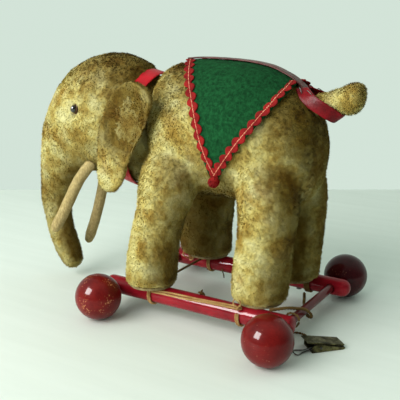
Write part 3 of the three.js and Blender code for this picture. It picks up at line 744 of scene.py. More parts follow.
CLOTH_HALF_ANGLE = 129
CLOTH_T = 1.6 * MM
CLOTH_LIFT = 0.4 * MM  # off the pile that it presses down
CLOTH_GRID = (150, 56)  # points over the back, and from front to rear
CLOTH_BILLOW, CLOTH_NAP = 0.9, 0.10  # mm
CLOTH_EDGE_THINS = 0.45
# The cloth's front and rear edges from the middle of the wheel frame, at angles from the spine.
CLOTH_EDGES = [
    (0, -0.036, 0.060),
    (30, -0.022, 0.060),
    (65, -0.0068, 0.0515),
    (95, 0.0008, 0.0347),
    (129, 0.009, 0.0135),
]
BRAID_WAIST = 0.8 * MM  # from the braid's middle line to a notch
BRAID_LOBE = 3.5 * MM  # from a notch out to the lobes' tips
BRAID_T = 1.1 * MM
BRAID_WAVE = 8.7 * MM
BRAID_FROM, BRAID_TO = 9, 125  # degrees from the spine
BRAID_STEP = 0.45 * MM
STITCH_STEPS = 9
THREAD_RADIUS = 0.34 * MM
POM_POM_LOOPS = 26
POM_POM_RAISED = 1.8 * MM  # onto the pile
YARN_RADIUS = 0.62 * MM


def cloth_edge(angle, end):
    """x of the cloth's front (end -1) or rear (end 1) edge."""
    angles = [row[0] for row in CLOTH_EDGES]
    edge = np.array([row[1 if end < 0 else 2] for row in CLOTH_EDGES])
    slopes = np.gradient(edge, angles)
    i = int(np.clip(np.searchsorted(angles, abs(angle)) - 1, 0, len(angles) - 2))
    span = angles[i + 1] - angles[i]
    t = (abs(angle) - angles[i]) / span
    return (
        WHEELS_MIDDLE[0]
        + (2 * t**3 - 3 * t**2 + 1) * edge[i]
        + (t**3 - 2 * t**2 + t) * span * slopes[i]
        + (3 * t**2 - 2 * t**3) * edge[i + 1]
        + (t**3 - t**2) * span * slopes[i + 1]
    )


def relaxed(grid, rounds):
    """Evens out a grid of points, its border sliding along itself."""
    for _ in range(rounds):
        inner = (grid[:-2, 1:-1] + grid[2:, 1:-1] + grid[1:-1, :-2] + grid[1:-1, 2:]) / 4
        grid[1:-1, 1:-1] = inner
        for edge in (grid[:, 0], grid[:, -1]):
            edge[1:-1] = (edge[:-2] + 2 * edge[1:-1] + edge[2:]) / 4
    return grid


def grid_normals(grid):
    return unit(np.cross(np.gradient(grid, axis=1), np.gradient(grid, axis=0)))


def cloth_grid(rows, columns):
    """The cloth's inner face, from the right flap's tip to the left one's and from front to rear."""
    grid = np.zeros((rows, columns, 3))
    for r, angle in enumerate(np.linspace(-CLOTH_HALF_ANGLE, CLOTH_HALF_ANGLE, rows)):
        front, rear = cloth_edge(angle, -1), cloth_edge(angle, 1)
        for c, share in enumerate(np.linspace(0, 1, columns)):
            grid[r, c] = over_torso(front + share * (rear - front), angle, CLOTH_LIFT)
    return relaxed(grid, 6)


def saddle_cloth():
    """Thick felt on the plush, its border sewn down and its middle billowing a little."""
    rows, columns = CLOTH_GRID
    inner = cloth_grid(rows, columns)
    normals = grid_normals(inner)
    if normals[rows // 2, columns // 2, 2] < 0:
        normals = -normals
    flat = inner.reshape(-1, 3)
    share = np.abs(np.linspace(-1, 1, columns))[None, :]
    down = np.abs(np.linspace(-1, 1, rows))[:, None]
    puckers = 0.5 * np.sin(np.linspace(0, 60, rows))[:, None] * share**6
    billow = CLOTH_BILLOW * lumps(flat, 0.03, 31).reshape(rows, columns) * (1 - share**4)
    lift = 0.9 * share**10 * down + 0.4 + puckers * 0.6 + np.maximum(billow, -0.3)
    nap = CLOTH_NAP * lumps(flat, 0.0016, 32).reshape(rows, columns)
    low = inner + normals * (MM * lift)[..., None]
    edge = 1 - CLOTH_EDGE_THINS * share_above(share, 0.965, 0.035)
    high = low + normals * (CLOTH_T * edge + MM * nap)[..., None]
    vertices = np.vstack([high.reshape(-1, 3), low.reshape(-1, 3)])
    count = rows * columns
    faces = []
    for quad in grid_faces(rows, columns):
        faces += [quad, [i + count for i in quad[::-1]]]
    rim = [r * columns for r in range(rows)] + [(rows - 1) * columns + c for c in range(1, columns)]
    rim += [r * columns + columns - 1 for r in range(rows - 2, -1, -1)] + list(range(columns - 2, 0, -1))
    faces += [[a, b, b + count, a + count] for a, b in zip(rim, rim[1:] + rim[:1])]
    return piece("felt_saddle_cloth", vertices, faces, GREEN_FELT, "felt", "saddle_cloth")


cloth = saddle_cloth()
cloth_surface = surface_of(cloth)


def on_cloth(x, angle, height):
    """A point on the cloth's outer face, or over it, and the way out."""
    hit, out = outermost(cloth_surface, x, angle)
    if hit is None:
        return over_torso(x, angle, CLOTH_LIFT + CLOTH_T + height), np.array(out)
    return np.array(hit + out * height), np.array(out)


def braid_line(end, side):
    """The braid's middle line near one edge of a flap, with the ways across it and out of it."""
    points, outs = [], []
    for angle in np.linspace(BRAID_FROM, BRAID_TO, 60):
        inset = MM * (1.6 + 4.3 * (angle / BRAID_TO) ** 3)
        at, out = on_cloth(cloth_edge(angle, end) - end * inset, -side * angle, 0.1 * MM)
        points.append(at)
        outs.append(out)
    line = smooth_route(points, BRAID_STEP)
    outs = np.array(outs)
    share = np.linspace(0, len(outs) - 1, len(line))
    outs = np.column_stack([np.interp(share, np.arange(len(outs)), outs[:, i]) for i in range(3)])
    return line, *squared(line, outs)


def ric_rac(line, sides, outs):
    """Wavy braid, its rounded lobes to the left and right by turns."""
    phase = math.pi * np.arange(len(line)) * BRAID_STEP / BRAID_WAVE
    to_right = BRAID_WAIST + BRAID_LOBE * np.abs(np.cos(phase)) ** 0.75
    to_left = BRAID_WAIST + BRAID_LOBE * np.abs(np.sin(phase)) ** 0.75
    flat = flat_section(2, BRAID_T, 16)
    across = (to_right - to_left)[:, None] / 2 + (to_right + to_left)[:, None] / 2 * flat[None, :, 0]
    section = np.stack([across, np.broadcast_to(flat[:, 1], across.shape)], axis=2)
    return sweep(line, sides, outs, section)


def stitches(line, sides, outs):
    """A thread sewn along the braid's middle, each stitch dipping into it at both ends."""
    corners = [0, 1.5, STITCH_STEPS - 2.5, STITCH_STEPS - 1]
    height = BRAID_T * np.interp(np.arange(STITCH_STEPS), corners, [0.8, 1.08, 1.08, 0.8])[:, None]
    sewn = []
    for start in range(2, len(line) - STITCH_STEPS, STITCH_STEPS):
        part = slice(start, start + STITCH_STEPS)
        thread = line[part] + outs[part] * height
        sewn.append(sweep(thread, sides[part], outs[part], circle(THREAD_RADIUS, 6)))
    return merged(sewn)


for where, end, side in CORNERS:
    way = braid_line(end, side)
    piece(f"ric_rac_{where}", *ric_rac(*way), BRAID_RED, "braid", f"cloth_trim_{where}")
    piece(f"braid_stitches_{where}", *stitches(*way), STITCH_PINK, "braid")


def pom_pom(side_name):
    """A small wound knot of red yarn, sitting on the plush's pile."""
    node = f"pom_pom_{side_name}"
    middle, radius = np.array(centre(node)) + np.array([0, 0, POM_POM_RAISED]), extent(node).x / 2
    rng = np.random.default_rng(11)
    loops = []
    for _ in range(POM_POM_LOOPS):
        pole = unit(rng.normal(0, 1, 3))
        across = unit(np.cross(pole, rng.normal(0, 1, 3)))
        up = np.cross(pole, across)
        ring = middle + radius * rng.uniform(0.7, 0.92) * spun(full_turn(22), across, up)
        loops.append(round_wire(ring, YARN_RADIUS, 6))
    return piece(f"yarn_knot_{side_name}", *merged(loops), BRAID_RED, "braid", node)


pom_poms = [pom_pom(side) for side, _ in SIDES]

# --- Straps and collar ---

STRAP_W = 10 * MM
STRAP_T = 1.4 * MM
STRAP_X = (-0.036, 0.066)
COLLAR_W = 14 * MM
COLLAR_MIDDLE = np.array([-0.080, 0, 0.150])
COLLAR_UP = np.array([0.011, 0, 0.048])
COLLAR_ACROSS = 0.036
COLLAR_RAY = 0.08  # from clear of the neck in to its middle
COLLAR_SINK = 1.5 * MM  # into the plush
COLLAR_SLACK = 7 * MM  # out from its ring at most
# The crupper's left half, at its middle line, with the way out of its face that shows.
CRUPPER_LEFT = [
    ((0.0655, -0.006, 0.1894), (0.35, -0.45, 0.8)),
    ((0.0717, -0.0113, 0.1845), (0.35, -0.85, 0.4)),
    ((0.0775, -0.0128, 0.1805), (0.25, -0.95, 0.1)),
    ((0.084, -0.0118, 0.1766), (0.3, -0.95, -0.1)),
    ((0.0895, -0.008, 0.1726), (0.45, -0.85, -0.3)),
]
CRUPPER_MIDDLE = ((0.093, 0, 0.169), (0.6, 0, -0.8))


def strap(name, node, points, normals, width, material):
    """A band along points, each with the way out of the face that shows."""
    # The ways out ride along the route, made too short to count in its length.
    route = smooth_route(np.hstack([points, 0.01 * np.array(normals, float)]), 0.001)
    line = route[:, :3]
    sides, outs = squared(line, unit(route[:, 3:]))
    creases = 0.12 * MM * lumps(line, 0.006, 41)[:, None] * outs
    band = sweep(line + creases, sides, outs, flat_section(width, STRAP_T, 20))
    return piece(name, *band, material, "leather", node)


def back_strap():
    along = np.linspace(*STRAP_X, 16) + WHEELS_MIDDLE[0]
    points = [on_cloth(x, 0, 0.3 * MM)[0] for x in along]
    return strap("spine_strap", "back_strap", points, [(0, 0, 1)] * len(points), STRAP_W, STRAP_RED)


def crupper():
    mirrored = [[(x, -y, z) for x, y, z in pair] for pair in CRUPPER_LEFT[::-1]]
    route = [*CRUPPER_LEFT, CRUPPER_MIDDLE, *mirrored]
    points = placed([at for at, _ in route])
    return strap("crupper_band", "crupper_strap", points, [out for _, out in route], STRAP_W, CRUPPER_RED)


def collar():
    """A band on its ring, or on the plush where that stands out further."""
    turn = np.radians(np.linspace(-178, 178, 49))
    radial = spun(turn, COLLAR_UP, np.array([0, COLLAR_ACROSS, 0]))
    middle = Vector(placed(COLLAR_MIDDLE).tolist())
    reach = []
    for way in radial.tolist():
        start = middle + Vector(way).normalized() * COLLAR_RAY
        hit = neck_surface.ray_cast(start, middle - start, COLLAR_RAY)[0]
        ring = Vector(way).length
        sunk = ring if hit is None else (hit - middle).length - COLLAR_SINK
        reach.append(min(max(ring, sunk), ring + COLLAR_SLACK))
    reach = np.convolve(np.pad(reach, 3, mode="edge"), np.ones(7) / 7, mode="valid")
    points = placed(COLLAR_MIDDLE) + unit(radial) * reach[:, None]
    return strap("collar_band", "collar", points, radial, COLLAR_W, COLLAR_RED)


strap_piece, crupper_piece, collar_piece = back_strap(), crupper(), collar()

# Staples that hold the crupper's left and right ends: place, way along the wire, way out.
STAPLES = [
    ((0.0665, -0.0105, 0.1885), (0.35, -0.2, -0.6), (0.3, -0.7, 0.6)),
    ((0.0735, -0.0105, 0.1872), (0.75, -0.25, -0.5), (0.35, -0.75, 0.5)),
]
STAPLE_RADIUS = 0.32 * MM
STAPLE_REACH = 2.6 * MM  # from its middle to a corner
STAPLE_SHAPE = [(-1, -1.2), (-1, 0.6), (-0.8, 1), (0.8, 1), (1, 0.6), (1, -1.2)]  # reaches along, mm out


def staple(at, along, out):
    """A wire staple's back and its two bent corners."""
    along, out = unit(np.array(along, float)), unit(np.array(out, float))
    route = [at + share * STAPLE_REACH * along + height * MM * out for share, height in STAPLE_SHAPE]
    return round_wire(smooth_route(route, 0.4 * MM), STAPLE_RADIUS, 8)


staples = []
for at, along, out in STAPLES:
    for _, side in SIDES:
        flip = np.array([1, -side, 1])
        staples.append(staple(placed(np.array(at) * flip), np.array(along) * flip, np.array(out) * flip))
piece("crupper_staples", *merged(staples), STEEL, "steel")

# --- The plush pieces ---

COVER_UNDER, COVER_RAY = 0.003, 0.010  # from under the skin out through whatever lies on it
EYE_CLEARANCE = 5.2 * MM
FOOT_TOP, FOOT_REACH = 0.0375, 0.006  # where the legs' plush starts to turn straight down, and over what
FOOT_FLARE, FOOT_DROP = 0.9 * MM, 1.5 * MM
UNDERSIDE_TOP = 0.0325
BETWEEN_LEGS = 0.115, 0.03  # the height where the legs' inner faces begin, and over what their painted shade comes in
# The height above which the undersides take painted shade, and over what it comes in.
BELLY = 0.06, 0.02
COLLAR_PRESS, COLLAR_PRESS_REACH = 3.4 * MM, 6.5 * MM
# Painted shade next to the ears, on the ears next to the head, and low on the head: how dark, and how far it
# reaches.
EAR_SHADE = 0.95
EAR_SHADE_REACH = {"body": 10 * MM, "head": 6 * MM}
HEAD_SHADE_REACH = 2.5 * MM
TRUNK_SHADE = 0.4
# The height where the head's painted shade begins, and over what it deepens downward.
TRUNK = 0.118, 0.02
# A cupped ear, in mm, at shares of its width and height.
EAR_HOLLOW, EAR_RIM, EAR_CREASE, EAR_LOBE = 4.2, 1.5, 1.6, 1.2
EAR_BOWL, EAR_BOWL_REACH = (0.56, 0.62), 0.38
EAR_CREASE_AT = (0.4, 0.42)
EAR_LOBE_TOP = 0.3

cover = surface_of(cloth, strap_piece, crupper_piece, collar_piece)
collar_surface = surface_of(collar_piece)
EYES = [np.array(centre(f"eye_{side}")) for side, _ in SIDES]


def bare(points, normals):
    """Which places nothing lies on: neither the cloth nor a strap, nor an eye."""
    free = np.ones(len(points), bool)
    for i, (point, normal) in enumerate(zip(points.tolist(), normals.tolist())):
        out = Vector(normal)
        free[i] = cover.ray_cast(Vector(point) - out * COVER_UNDER, out, COVER_RAY)[0] is None
    for eye in EYES:
        free &= np.linalg.norm(points - eye, axis=1) > EYE_CLEARANCE
    return free


def off_the_ground(points, normals):
    """Bare places, without the flat undersides of the feet."""
    underside = (points[:, 2] < UNDERSIDE_TOP) & (normals[:, 2] < -0.7)
    return bare(points, normals) & ~underside


def painted_pile_shade(points, normals):
    """Painted shade, from 0 to 1: on top and behind, inside the legs and under the belly."""
    turned_up = 1.15 * normals[:, 2] + 0.95 * normals[:, 0] - 0.1
    inside = -np.sign(points[:, 1]) * normals[:, 1] * share_below(points[:, 2], *BETWEEN_LEGS)
    under = -0.9 * normals[:, 2] * share_above(points[:, 2], *BELLY)
    return np.clip(np.maximum(np.maximum(turned_up, 1.1 * inside), under), 0, 0.9)


def near(points, surface, reach):
    """1 at a surface, falling to 0 at reach from it."""
    found = [surface.find_nearest(Vector(point), reach)[3] for point in points.tolist()]
    return np.array([0 if distance is None else 1 - distance / reach for distance in found])


def plush(obj, *nodes, fill=0.9, dark=0.0, painted_shade_share=1.0):
    """Turns a smooth form into a plush skin that stands for CAD nodes."""
    at, normals = coordinates(obj.data), vertex_normals(obj.data)
    # Painted shade: from the form's facing and height, and where dark says.
    shade = np.maximum(painted_shade_share * painted_pile_shade(at, normals), dark)
    push_out(obj.data, -COLLAR_PRESS * near(at, collar_surface, COLLAR_PRESS_REACH))
    clumped(obj)
    float_attribute(obj.data, "dark", shade)
    return stuffed(obj, MOHAIR_SKIN, "plush", *nodes, fill=fill)


def squared_feet(obj):
    """Carries the legs' plush straight down to the soles' undersides."""
    at, normals = coordinates(obj.data), vertex_normals(obj.data)
    low = share_below(at[:, 2], FOOT_TOP, FOOT_REACH)
    outward = unit(normals * np.array([1, 1, 0]) + 1e-9)
    at += (FOOT_FLARE * low * (np.abs(normals[:, 2]) < 0.9))[:, None] * outward
    at[:, 2] -= FOOT_DROP * low
    move_vertices(obj.data, at)


def ear_form(side_name, side):
    """A cupped ear and its painted shade: hollow outside, with a rolled rim, a front fold and a round lobe.
    """
    obj = soft_form(f"plush_ear_{side_name}", [f"ear_{side_name}"], 0.0013, 4)
    at, normals = coordinates(obj.data), vertex_normals(obj.data)
    low, high = at.min(axis=0), at.max(axis=0)
    share_x = (at[:, 0] - low[0]) / (high[0] - low[0])
    share_z = (at[:, 2] - low[2]) / (high[2] - low[2])
    outside = np.clip(side * normals[:, 1], 0, 1) ** 0.5
    from_bowl = [(share - at) / EAR_BOWL_REACH for share, at in zip((share_x, share_z), EAR_BOWL)]
    bowl = from_bowl[0] ** 2 + from_bowl[1] ** 2
    hollow = np.clip(1 - bowl, 0, 1) ** 0.8
    rim = EAR_RIM * np.exp(-(((bowl - 1.3) / 0.4) ** 2))
    over_crease = share_z - EAR_CREASE_AT[1] + 0.3 * (share_x - EAR_CREASE_AT[0])
    crease = EAR_CREASE * np.exp(-((over_crease / 0.04) ** 2)) * (share_x < 0.7)
    lobe = share_below(share_z, EAR_LOBE_TOP, EAR_LOBE_TOP)
    move = side * MM * ((rim + crease - EAR_HOLLOW * hollow) * outside + EAR_LOBE * lobe)
    wider = (share_x - 0.24) * (high[0] - low[0]) * 0.4 * lobe
    move_vertices(obj.data, at + np.column_stack([wider, move, 0 * move]))
    # Painted shade on the ear's upper part and in its hollow.
    shade = 0.65 * share_above(share_z, 0.25, 0.2) + 0.6 * hollow * outside
    return obj, np.clip(shade, 0, 0.95)


squared_feet(body_form)
ears = {side_name: ear_form(side_name, side) for side_name, side in SIDES}
ears_surface = surface_of(*[form for form, _ in ears.values()])
# Painted shade on the body next to the ears.
body_shade = EAR_SHADE * near(coordinates(body_form.data), ears_surface, EAR_SHADE_REACH["body"])
body = plush(body_form, "torso", *LEGS, dark=body_shade)
pile("body_pile_left", body, 1.6 * MM, 1, lambda at, out: off_the_ground(at, out) & (at[:, 1] < 0))
pile("body_pile_right", body, 1.6 * MM, 6, lambda at, out: off_the_ground(at, out) & (at[:, 1] >= 0))

head_at = coordinates(head_form.data)
# Painted shade low on the head, round the trunk, and on the head next to the ears.
trunk_shade = TRUNK_SHADE * share_below(head_at[:, 2], *TRUNK)
head_shade = np.maximum(EAR_SHADE * near(head_at, ears_surface, EAR_SHADE_REACH["head"]), trunk_shade)
head = plush(head_form, "head", dark=head_shade)
pile("head_pile", head, 1.5 * MM, 2, bare)

tail = plush(soft_form("plush_tail", ["tail"], 0.0012, 5), "tail", painted_shade_share=0.4)
pile("tail_pile", tail, 1.8 * MM, 3, bare)

head_surface = surface_of(head)
for number, (side_name, (form, shade)) in enumerate(ears.items()):
    # Painted shade on each ear where it lies close to the head.
    painted_shade_by_head = near(coordinates(form.data), head_surface, HEAD_SHADE_REACH)
    ear = plush(form, f"ear_{side_name}", fill=0.4, dark=np.maximum(shade, painted_shade_by_head))
    pile(f"ear_pile_{side_name}", ear, 1.4 * MM, 4 + number, bare)

# --- Eyes and tusks ---

EYE_SHOWN = 0.9  # the share of the eye's radius that its lids leave
EYE_WIDTH = 0.8  # its width between the lids, as a share of its height
EYE_STANDS_OUT = 1.1 * MM
EYELID_RADIUS = 0.6 * MM
EYELID_BACK = 1.3 * MM  # from the glass's middle
EYELID_HEIGHT = 1.08  # the lids' ring, as a share of the glass


def eye(side_name, side):
    """A glass eye that looks out and forward between narrow lids."""
    node = f"eye_{side_name}"
    out = unit(np.array([-0.42, side, 0.12]))
    middle = np.array(centre(node)) + out * EYE_STANDS_OUT
    radius = extent(node).z / 2 * EYE_SHOWN
    angles = np.radians(np.linspace(0, 180, 33))
    profile = [(radius * math.sin(a), -radius * 0.92 * math.cos(a)) for a in angles]
    across = unit(np.cross(out, (0, 0, 1)))
    up = np.cross(across, out)
    vertices, faces = lathe(profile, middle, out, 48)
    vertices -= (1 - EYE_WIDTH) * ((vertices - middle) @ across)[:, None] * across
    piece(f"eye_glass_{side_name}", vertices, faces, EYE_GLASS, "glass_eye", node)
    opening = spun(np.linspace(0, 2 * math.pi, 41), across * EYE_WIDTH, up * EYELID_HEIGHT)
    ring = middle - out * EYELID_BACK + (radius + 0.05 * MM) * opening
    piece(f"eyelid_{side_name}", *round_wire(ring, EYELID_RADIUS, 8), EYELID, "leather")


for side_name, side in SIDES:
    eye(side_name, side)
    tusk = soft_form(f"felt_tusk_{side_name}", [f"tusk_{side_name}"], 0.0009, 8, swell=0.0002)
    push_out(tusk.data, 0.18 * MM * lumps(coordinates(tusk.data), 0.007, 51) + 0.05 * MM)
    stuffed(tusk, TUSK_FELT, "tusk_felt", f"tusk_{side_name}", fill=1.0)

# --- Wooden frame ---

NOSES = {"left": 2.5 * MM, "right": 7 * MM}  # how long each rail's rear end tapers
FRONT_NOSE = 7 * MM
BORE_RADIUS = 4.0 * MM
DRILL_REACH = 0.02
AXLE_CORNER = 0.5 * MM
BALL_HOLE_RADIUS = 0.94 * BORE_RADIUS
BALL_HOLE_DEPTH = 15 * MM


def bored(obj, radius, places):
    """Drills holes along Y through a mesh."""
    profile = [(0, -DRILL_REACH), (radius, -DRILL_REACH), (radius, DRILL_REACH), (0, DRILL_REACH)]
    bits = [lathe(profile, place, (0, 1, 0), 32) for place in places]
    drill = added("drill", mesh_of("drill", *merged(bits)))
    modified(obj, "BOOLEAN", operation="DIFFERENCE", object=drill)
    applied(obj)
    bpy.data.objects.remove(drill)


def rail(side_name):
    """A painted dowel with rounded ends and a bore for each axle."""
    node = f"side_rail_{side_name}"
    low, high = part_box(node)
    middle = centre(node)
    rear_nose = NOSES[side_name]
    quarter = np.radians(np.linspace(0, 90, 13))
    front = [(RAIL_RADIUS * math.sin(a), low.x + FRONT_NOSE * (1 - math.cos(a))) for a in quarter]
    rear = [(RAIL_RADIUS * math.sin(a), high.x - rear_nose * (1 - math.cos(a))) for a in quarter[::-1]]
    shaft = [(RAIL_RADIUS, x) for x in np.linspace(low.x + FRONT_NOSE, high.x - rear_nose, 60)[1:-1]]
    dowel = lathe([*front, *shaft, *rear], (0, middle.y, middle.z), (1, 0, 0), 72)
    obj = piece(f"painted_rail_{side_name}", *dowel, RAIL_PAINT, "red_paint", node)
    push_out(obj.data, 0.06 * MM * lumps(coordinates(obj.data), 0.009, 61))
    bored(obj, BORE_RADIUS, [(AXLE[end].x, middle.y, AXLE_Z) for end, _ in ENDS])


def axle(end_name):
    node = f"{end_name}_axle"
    low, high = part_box(node)
    radius = extent(node).z / 2
    profile = [(0, low.y), (radius * 0.9, low.y), (radius, low.y + AXLE_CORNER)]
    profile += [(radius, y) for y in np.linspace(low.y, high.y, 80)[1:-1]]
    profile += [(radius, high.y - AXLE_CORNER), (radius * 0.9, high.y), (0, high.y)]
    dowel = lathe(profile, (AXLE[end_name].x, 0, AXLE[end_name].z), (0, 1, 0), 48)
    body = f"{end_name}_wheelset"
    piece(f"painted_axle_{end_name}", *dowel, AXLE_PAINT, "red_paint", node, body=body)


def ball(where, side, seed, body):
    """A turned ball with its blind hole, a few flat spots and dents of wear."""
    node = f"wheel_{where}"
    middle, radius = centre(node), extent(node).z / 2
    hole_angle = math.asin(BORE_RADIUS * 0.95 / radius)
    angles = np.linspace(0, math.pi - hole_angle, 64)
    profile = [(radius * math.sin(a), radius * math.cos(a)) for a in angles]
    floor = radius * math.cos(angles[-1]) + BALL_HOLE_DEPTH
    profile += [(BALL_HOLE_RADIUS, floor), (0, floor)]
    turned = lathe(profile, tuple(middle), (0, side, 0), 96)
    obj = piece(f"ball_wheel_{where}", *turned, BALL_PAINTS[where], "ball_paint", node, body=body)
    at = coordinates(obj.data)
    dents = np.clip(lumps(at, 0.0022, seed + 1) - 0.72, 0, 1) / 0.28
    push_out(obj.data, MM * (0.05 * lumps(at, 0.012, seed) - 0.22 * dents))


for side_name, _ in SIDES:
    rail(side_name)
for end_name, end in ENDS:
    axle(end_name)
    for side_name, side in SIDES:
        ball(f"{end_name}_{side_name}", side, 70 + 3 * end + side, f"{end_name}_wheelset")

# --- Lashings ---

CORD_D = 1.7 * MM
CORD_GAP = 0.3 * MM  # between a cord and the rail that it lies on
RAIL_CORD_X = (-0.0405, 0.038)
LASHING_D = 2.6 * MM  # the thick lashing over and under the rear axle
CROSS_LASHING = [
    (-0.0473, 0.0374, 0.0244),
    (-0.0478, 0.012, 0.024),
    (-0.0476, -0.014, 0.0236),
    (-0.047, -0.0376, 0.0232),
]
ROD_LASHING = [
    (0.0565, 0.0355, 0.012),
    (0.0615, 0.024, 0.0126),
    (0.0666, 0.0116, 0.013),
    (0.072, 0.002, 0.0126),
    (0.078, -0.007, 0.0116),
    (0.0836, -0.0135, 0.0145),
    (0.0844, -0.0185, 0.0195),
    (0.082, -0.0235, 0.024),
    (0.078, -0.0295, 0.026),
    (0.074, -0.0365, 0.028),
    (0.070, -0.043, 0.0288),
    (0.064, -0.048, 0.0283),
]
RAIL_CORD_RUNS = ((-5.5, 0.25), (5.5, -0.2))  # each run's shift round the rail in degrees, and its dip
# The ties round the rails: x, side, from and to angles, how far they lean along, the turns' shifts in x.
RAIL_TIES = {
    "front_left": (RAIL_CORD_X[0], -1, 46, -220, 0.0006, (-0.0008, -0.0026)),
    "rear_left": (RAIL_CORD_X[1], -1, 24, -220, 0.0005, (0.0017, 0.0035)),
    "front_right": (-0.0422, 1, 135, 400, 0.0005, (-0.0009, 0.0009)),
    "rear_right": (0.057, 1, 135, 400, 0.0004, (-0.0018, 0, 0.0018)),
}
REAR_KNOT = (RAIL_CORD_X[1] + 0.0026, -0.0538, 0.0269)
REAR_KNOT_ENDS = [
    [REAR_KNOT, (0.0375, -0.0548, 0.0292), (0.0368, -0.0552, 0.0318), (0.0385, -0.0554, 0.034)],
    [REAR_KNOT, (0.0425, -0.0545, 0.0295), (0.0432, -0.0552, 0.0325), (0.0418, -0.0556, 0.0345)],
]
TANGLE = (-0.060, 0.037, 0.0228)
TANGLE_LOOPS = [
    [
        TANGLE,
        (-0.064, 0.036, 0.027),
        (-0.0665, 0.034, 0.0285),
        (-0.066, 0.032, 0.025),
        (-0.0615, 0.0345, 0.0225),
    ],
    [TANGLE, (-0.056, 0.0355, 0.0265), (-0.052, 0.0345, 0.0268), (-0.0495, 0.0355, 0.025)],
]
LEFT_KNOT = (-0.002, -0.038, 0.0242)
LOOSE_TAIL = [
    (-0.028, 0.0395, 0.0165),
    (-0.028, 0.0412, 0.0125),
    (-0.0282, 0.043, 0.0095),
    (-0.0285, 0.0442, 0.006),
]


def cord(name, node, material, *ropes):
    """One piece made of several ropes."""
    slot = "cord" if material is TAN_CORD else "old_cord"
    return piece(name, *merged(ropes), material, slot, node)


def rail_tie(where, material):
    """Turns of cord round a rail. Angles run from level and outward, over the top."""
    x, side, start, end, lean, shifts = RAIL_TIES[where]
    reach = RAIL_RADIUS + CORD_GAP + CORD_D / 2
    turns = np.radians(np.linspace(start, end, 14))
    y = side * (RAIL_Y + reach * np.cos(turns))
    z = AXLE_Z + reach * np.sin(turns)
    leaning = np.linspace(-lean, lean, len(turns))
    ropes = [rope(placed(np.column_stack([x + shift + leaning, y, z])), CORD_D) for shift in shifts]
    return cord(f"rail_tie_{where}_rope", f"rail_tie_{where}", material, *ropes)


def tied_knot(at, radius, diameter, turn=0.0):
    """A small pulled-up overhand knot."""
    t = np.linspace(0, 2 * math.pi, 40)[:-1]
    x, y = np.sin(t) + 2 * np.sin(2 * t), np.cos(t) - 2 * np.cos(2 * t)
    loop = np.column_stack([x, y, -1.4 * np.sin(3 * t)])
    spin = np.array(Matrix.Rotation(turn, 3, (0.3, 0.5, 0.8)))
    return rope(placed(at) + (loop / 3 * radius) @ spin.T, diameter, 2)


def thin_ropes(routes, diameter):
    return [rope(placed(route), diameter, 2) for route in routes]


def rail_cord_run(shift, dip):
    """One of two runs of cord side by side on the left rail's shoulder."""
    shares = np.linspace(0, 1, 9)
    x = RAIL_CORD_X[0] + shares * (RAIL_CORD_X[1] - RAIL_CORD_X[0])
    angle = np.radians(34 + 20 * shares + shift * 1.15 + 1.2 * np.sin(9 * shares + shift))
    lift = RAIL_RADIUS + CORD_GAP + CORD_D / 2 + MM * dip * np.sin(math.pi * shares) ** 2 * 0.5
    y, z = -RAIL_Y - lift * np.cos(angle), AXLE_Z + lift * np.sin(angle)
    return rope(placed(np.column_stack([x, y, z])), CORD_D)


cord("rail_cord_pair", "rail_cord", TAN_CORD, *[rail_cord_run(*run) for run in RAIL_CORD_RUNS])
rail_tie("front_left", TAN_CORD)
rail_tie("rear_left", TAN_CORD)
rear_knot = [tied_knot(REAR_KNOT, 2.2 * MM, CORD_D), *thin_ropes(REAR_KNOT_ENDS, 1.2 * MM)]
cord("rail_cord_rear_knot", "rail_cord_knot", TAN_CORD, *rear_knot)
rail_tie("front_right", TAN_CORD)
rail_tie("rear_right", OLD_CORD)
lashing_pair = [rope(placed(CROSS_LASHING) + np.array([d, 0, d / 3]), CORD_D) for d in (-0.0009, 0.0009)]
cord("cross_lashing_pair", "cross_lashing", OLD_CORD, *lashing_pair)
tangle = [tied_knot(TANGLE, 2.8 * MM, CORD_D, 1.0), *thin_ropes(TANGLE_LOOPS, 1.1 * MM)]
cord("cross_lashing_tangle", "cross_lashing_knot", TAN_CORD, *tangle)
cord("rail_knot_left_rope", "rail_knot_left", OLD_CORD, tied_knot(LEFT_KNOT, 2.7 * MM, CORD_D, 2.0))
rod_lashing = [rope(placed(ROD_LASHING), LASHING_D), *thin_ropes([LOOSE_TAIL], 1.3 * MM)]
cord("rod_lashing_rope", "rod_lashing", OLD_CORD, *rod_lashing)

# --- Tether and clip ---

TETHER_D = 0.0018
TETHER = [
    (0.0775, -0.036, 0.0119),
    (0.0766, -0.0342, 0.0096),
    (0.0752, -0.0316, 0.0072),
    (0.0738, -0.0288, 0.005),
    (0.0729, -0.026, 0.0031),
    (0.0726, -0.0232, 0.0018),
    (0.0732, -0.0208, 0.0013),
    (0.0748, -0.0192, 0.00115),
    (0.077, -0.0189, 0.0012),
    (0.0792, -0.0198, 0.0016),
    (0.0812, -0.0215, 0.0023),
    (0.083, -0.0236, 0.0031),
    (0.0846, -0.0258, 0.0039),
    (0.086, -0.028, 0.0045),
    (0.087, -0.03, 0.0049),
]
CLIP_TURN = math.radians(47)  # on the floor, from +X
CLIP_PIN_AT = 0.006  # from the clip's thumb end
CLIP_LOOP_D = 1.0 * MM
SPRING_RADIUS = 0.00165
SPRING_TURNS = 5
SPRING_HALF_LENGTH = 0.0026
SPRING_HEIGHT = 0.0036
SPRING_WIRE_D = 0.7 * MM
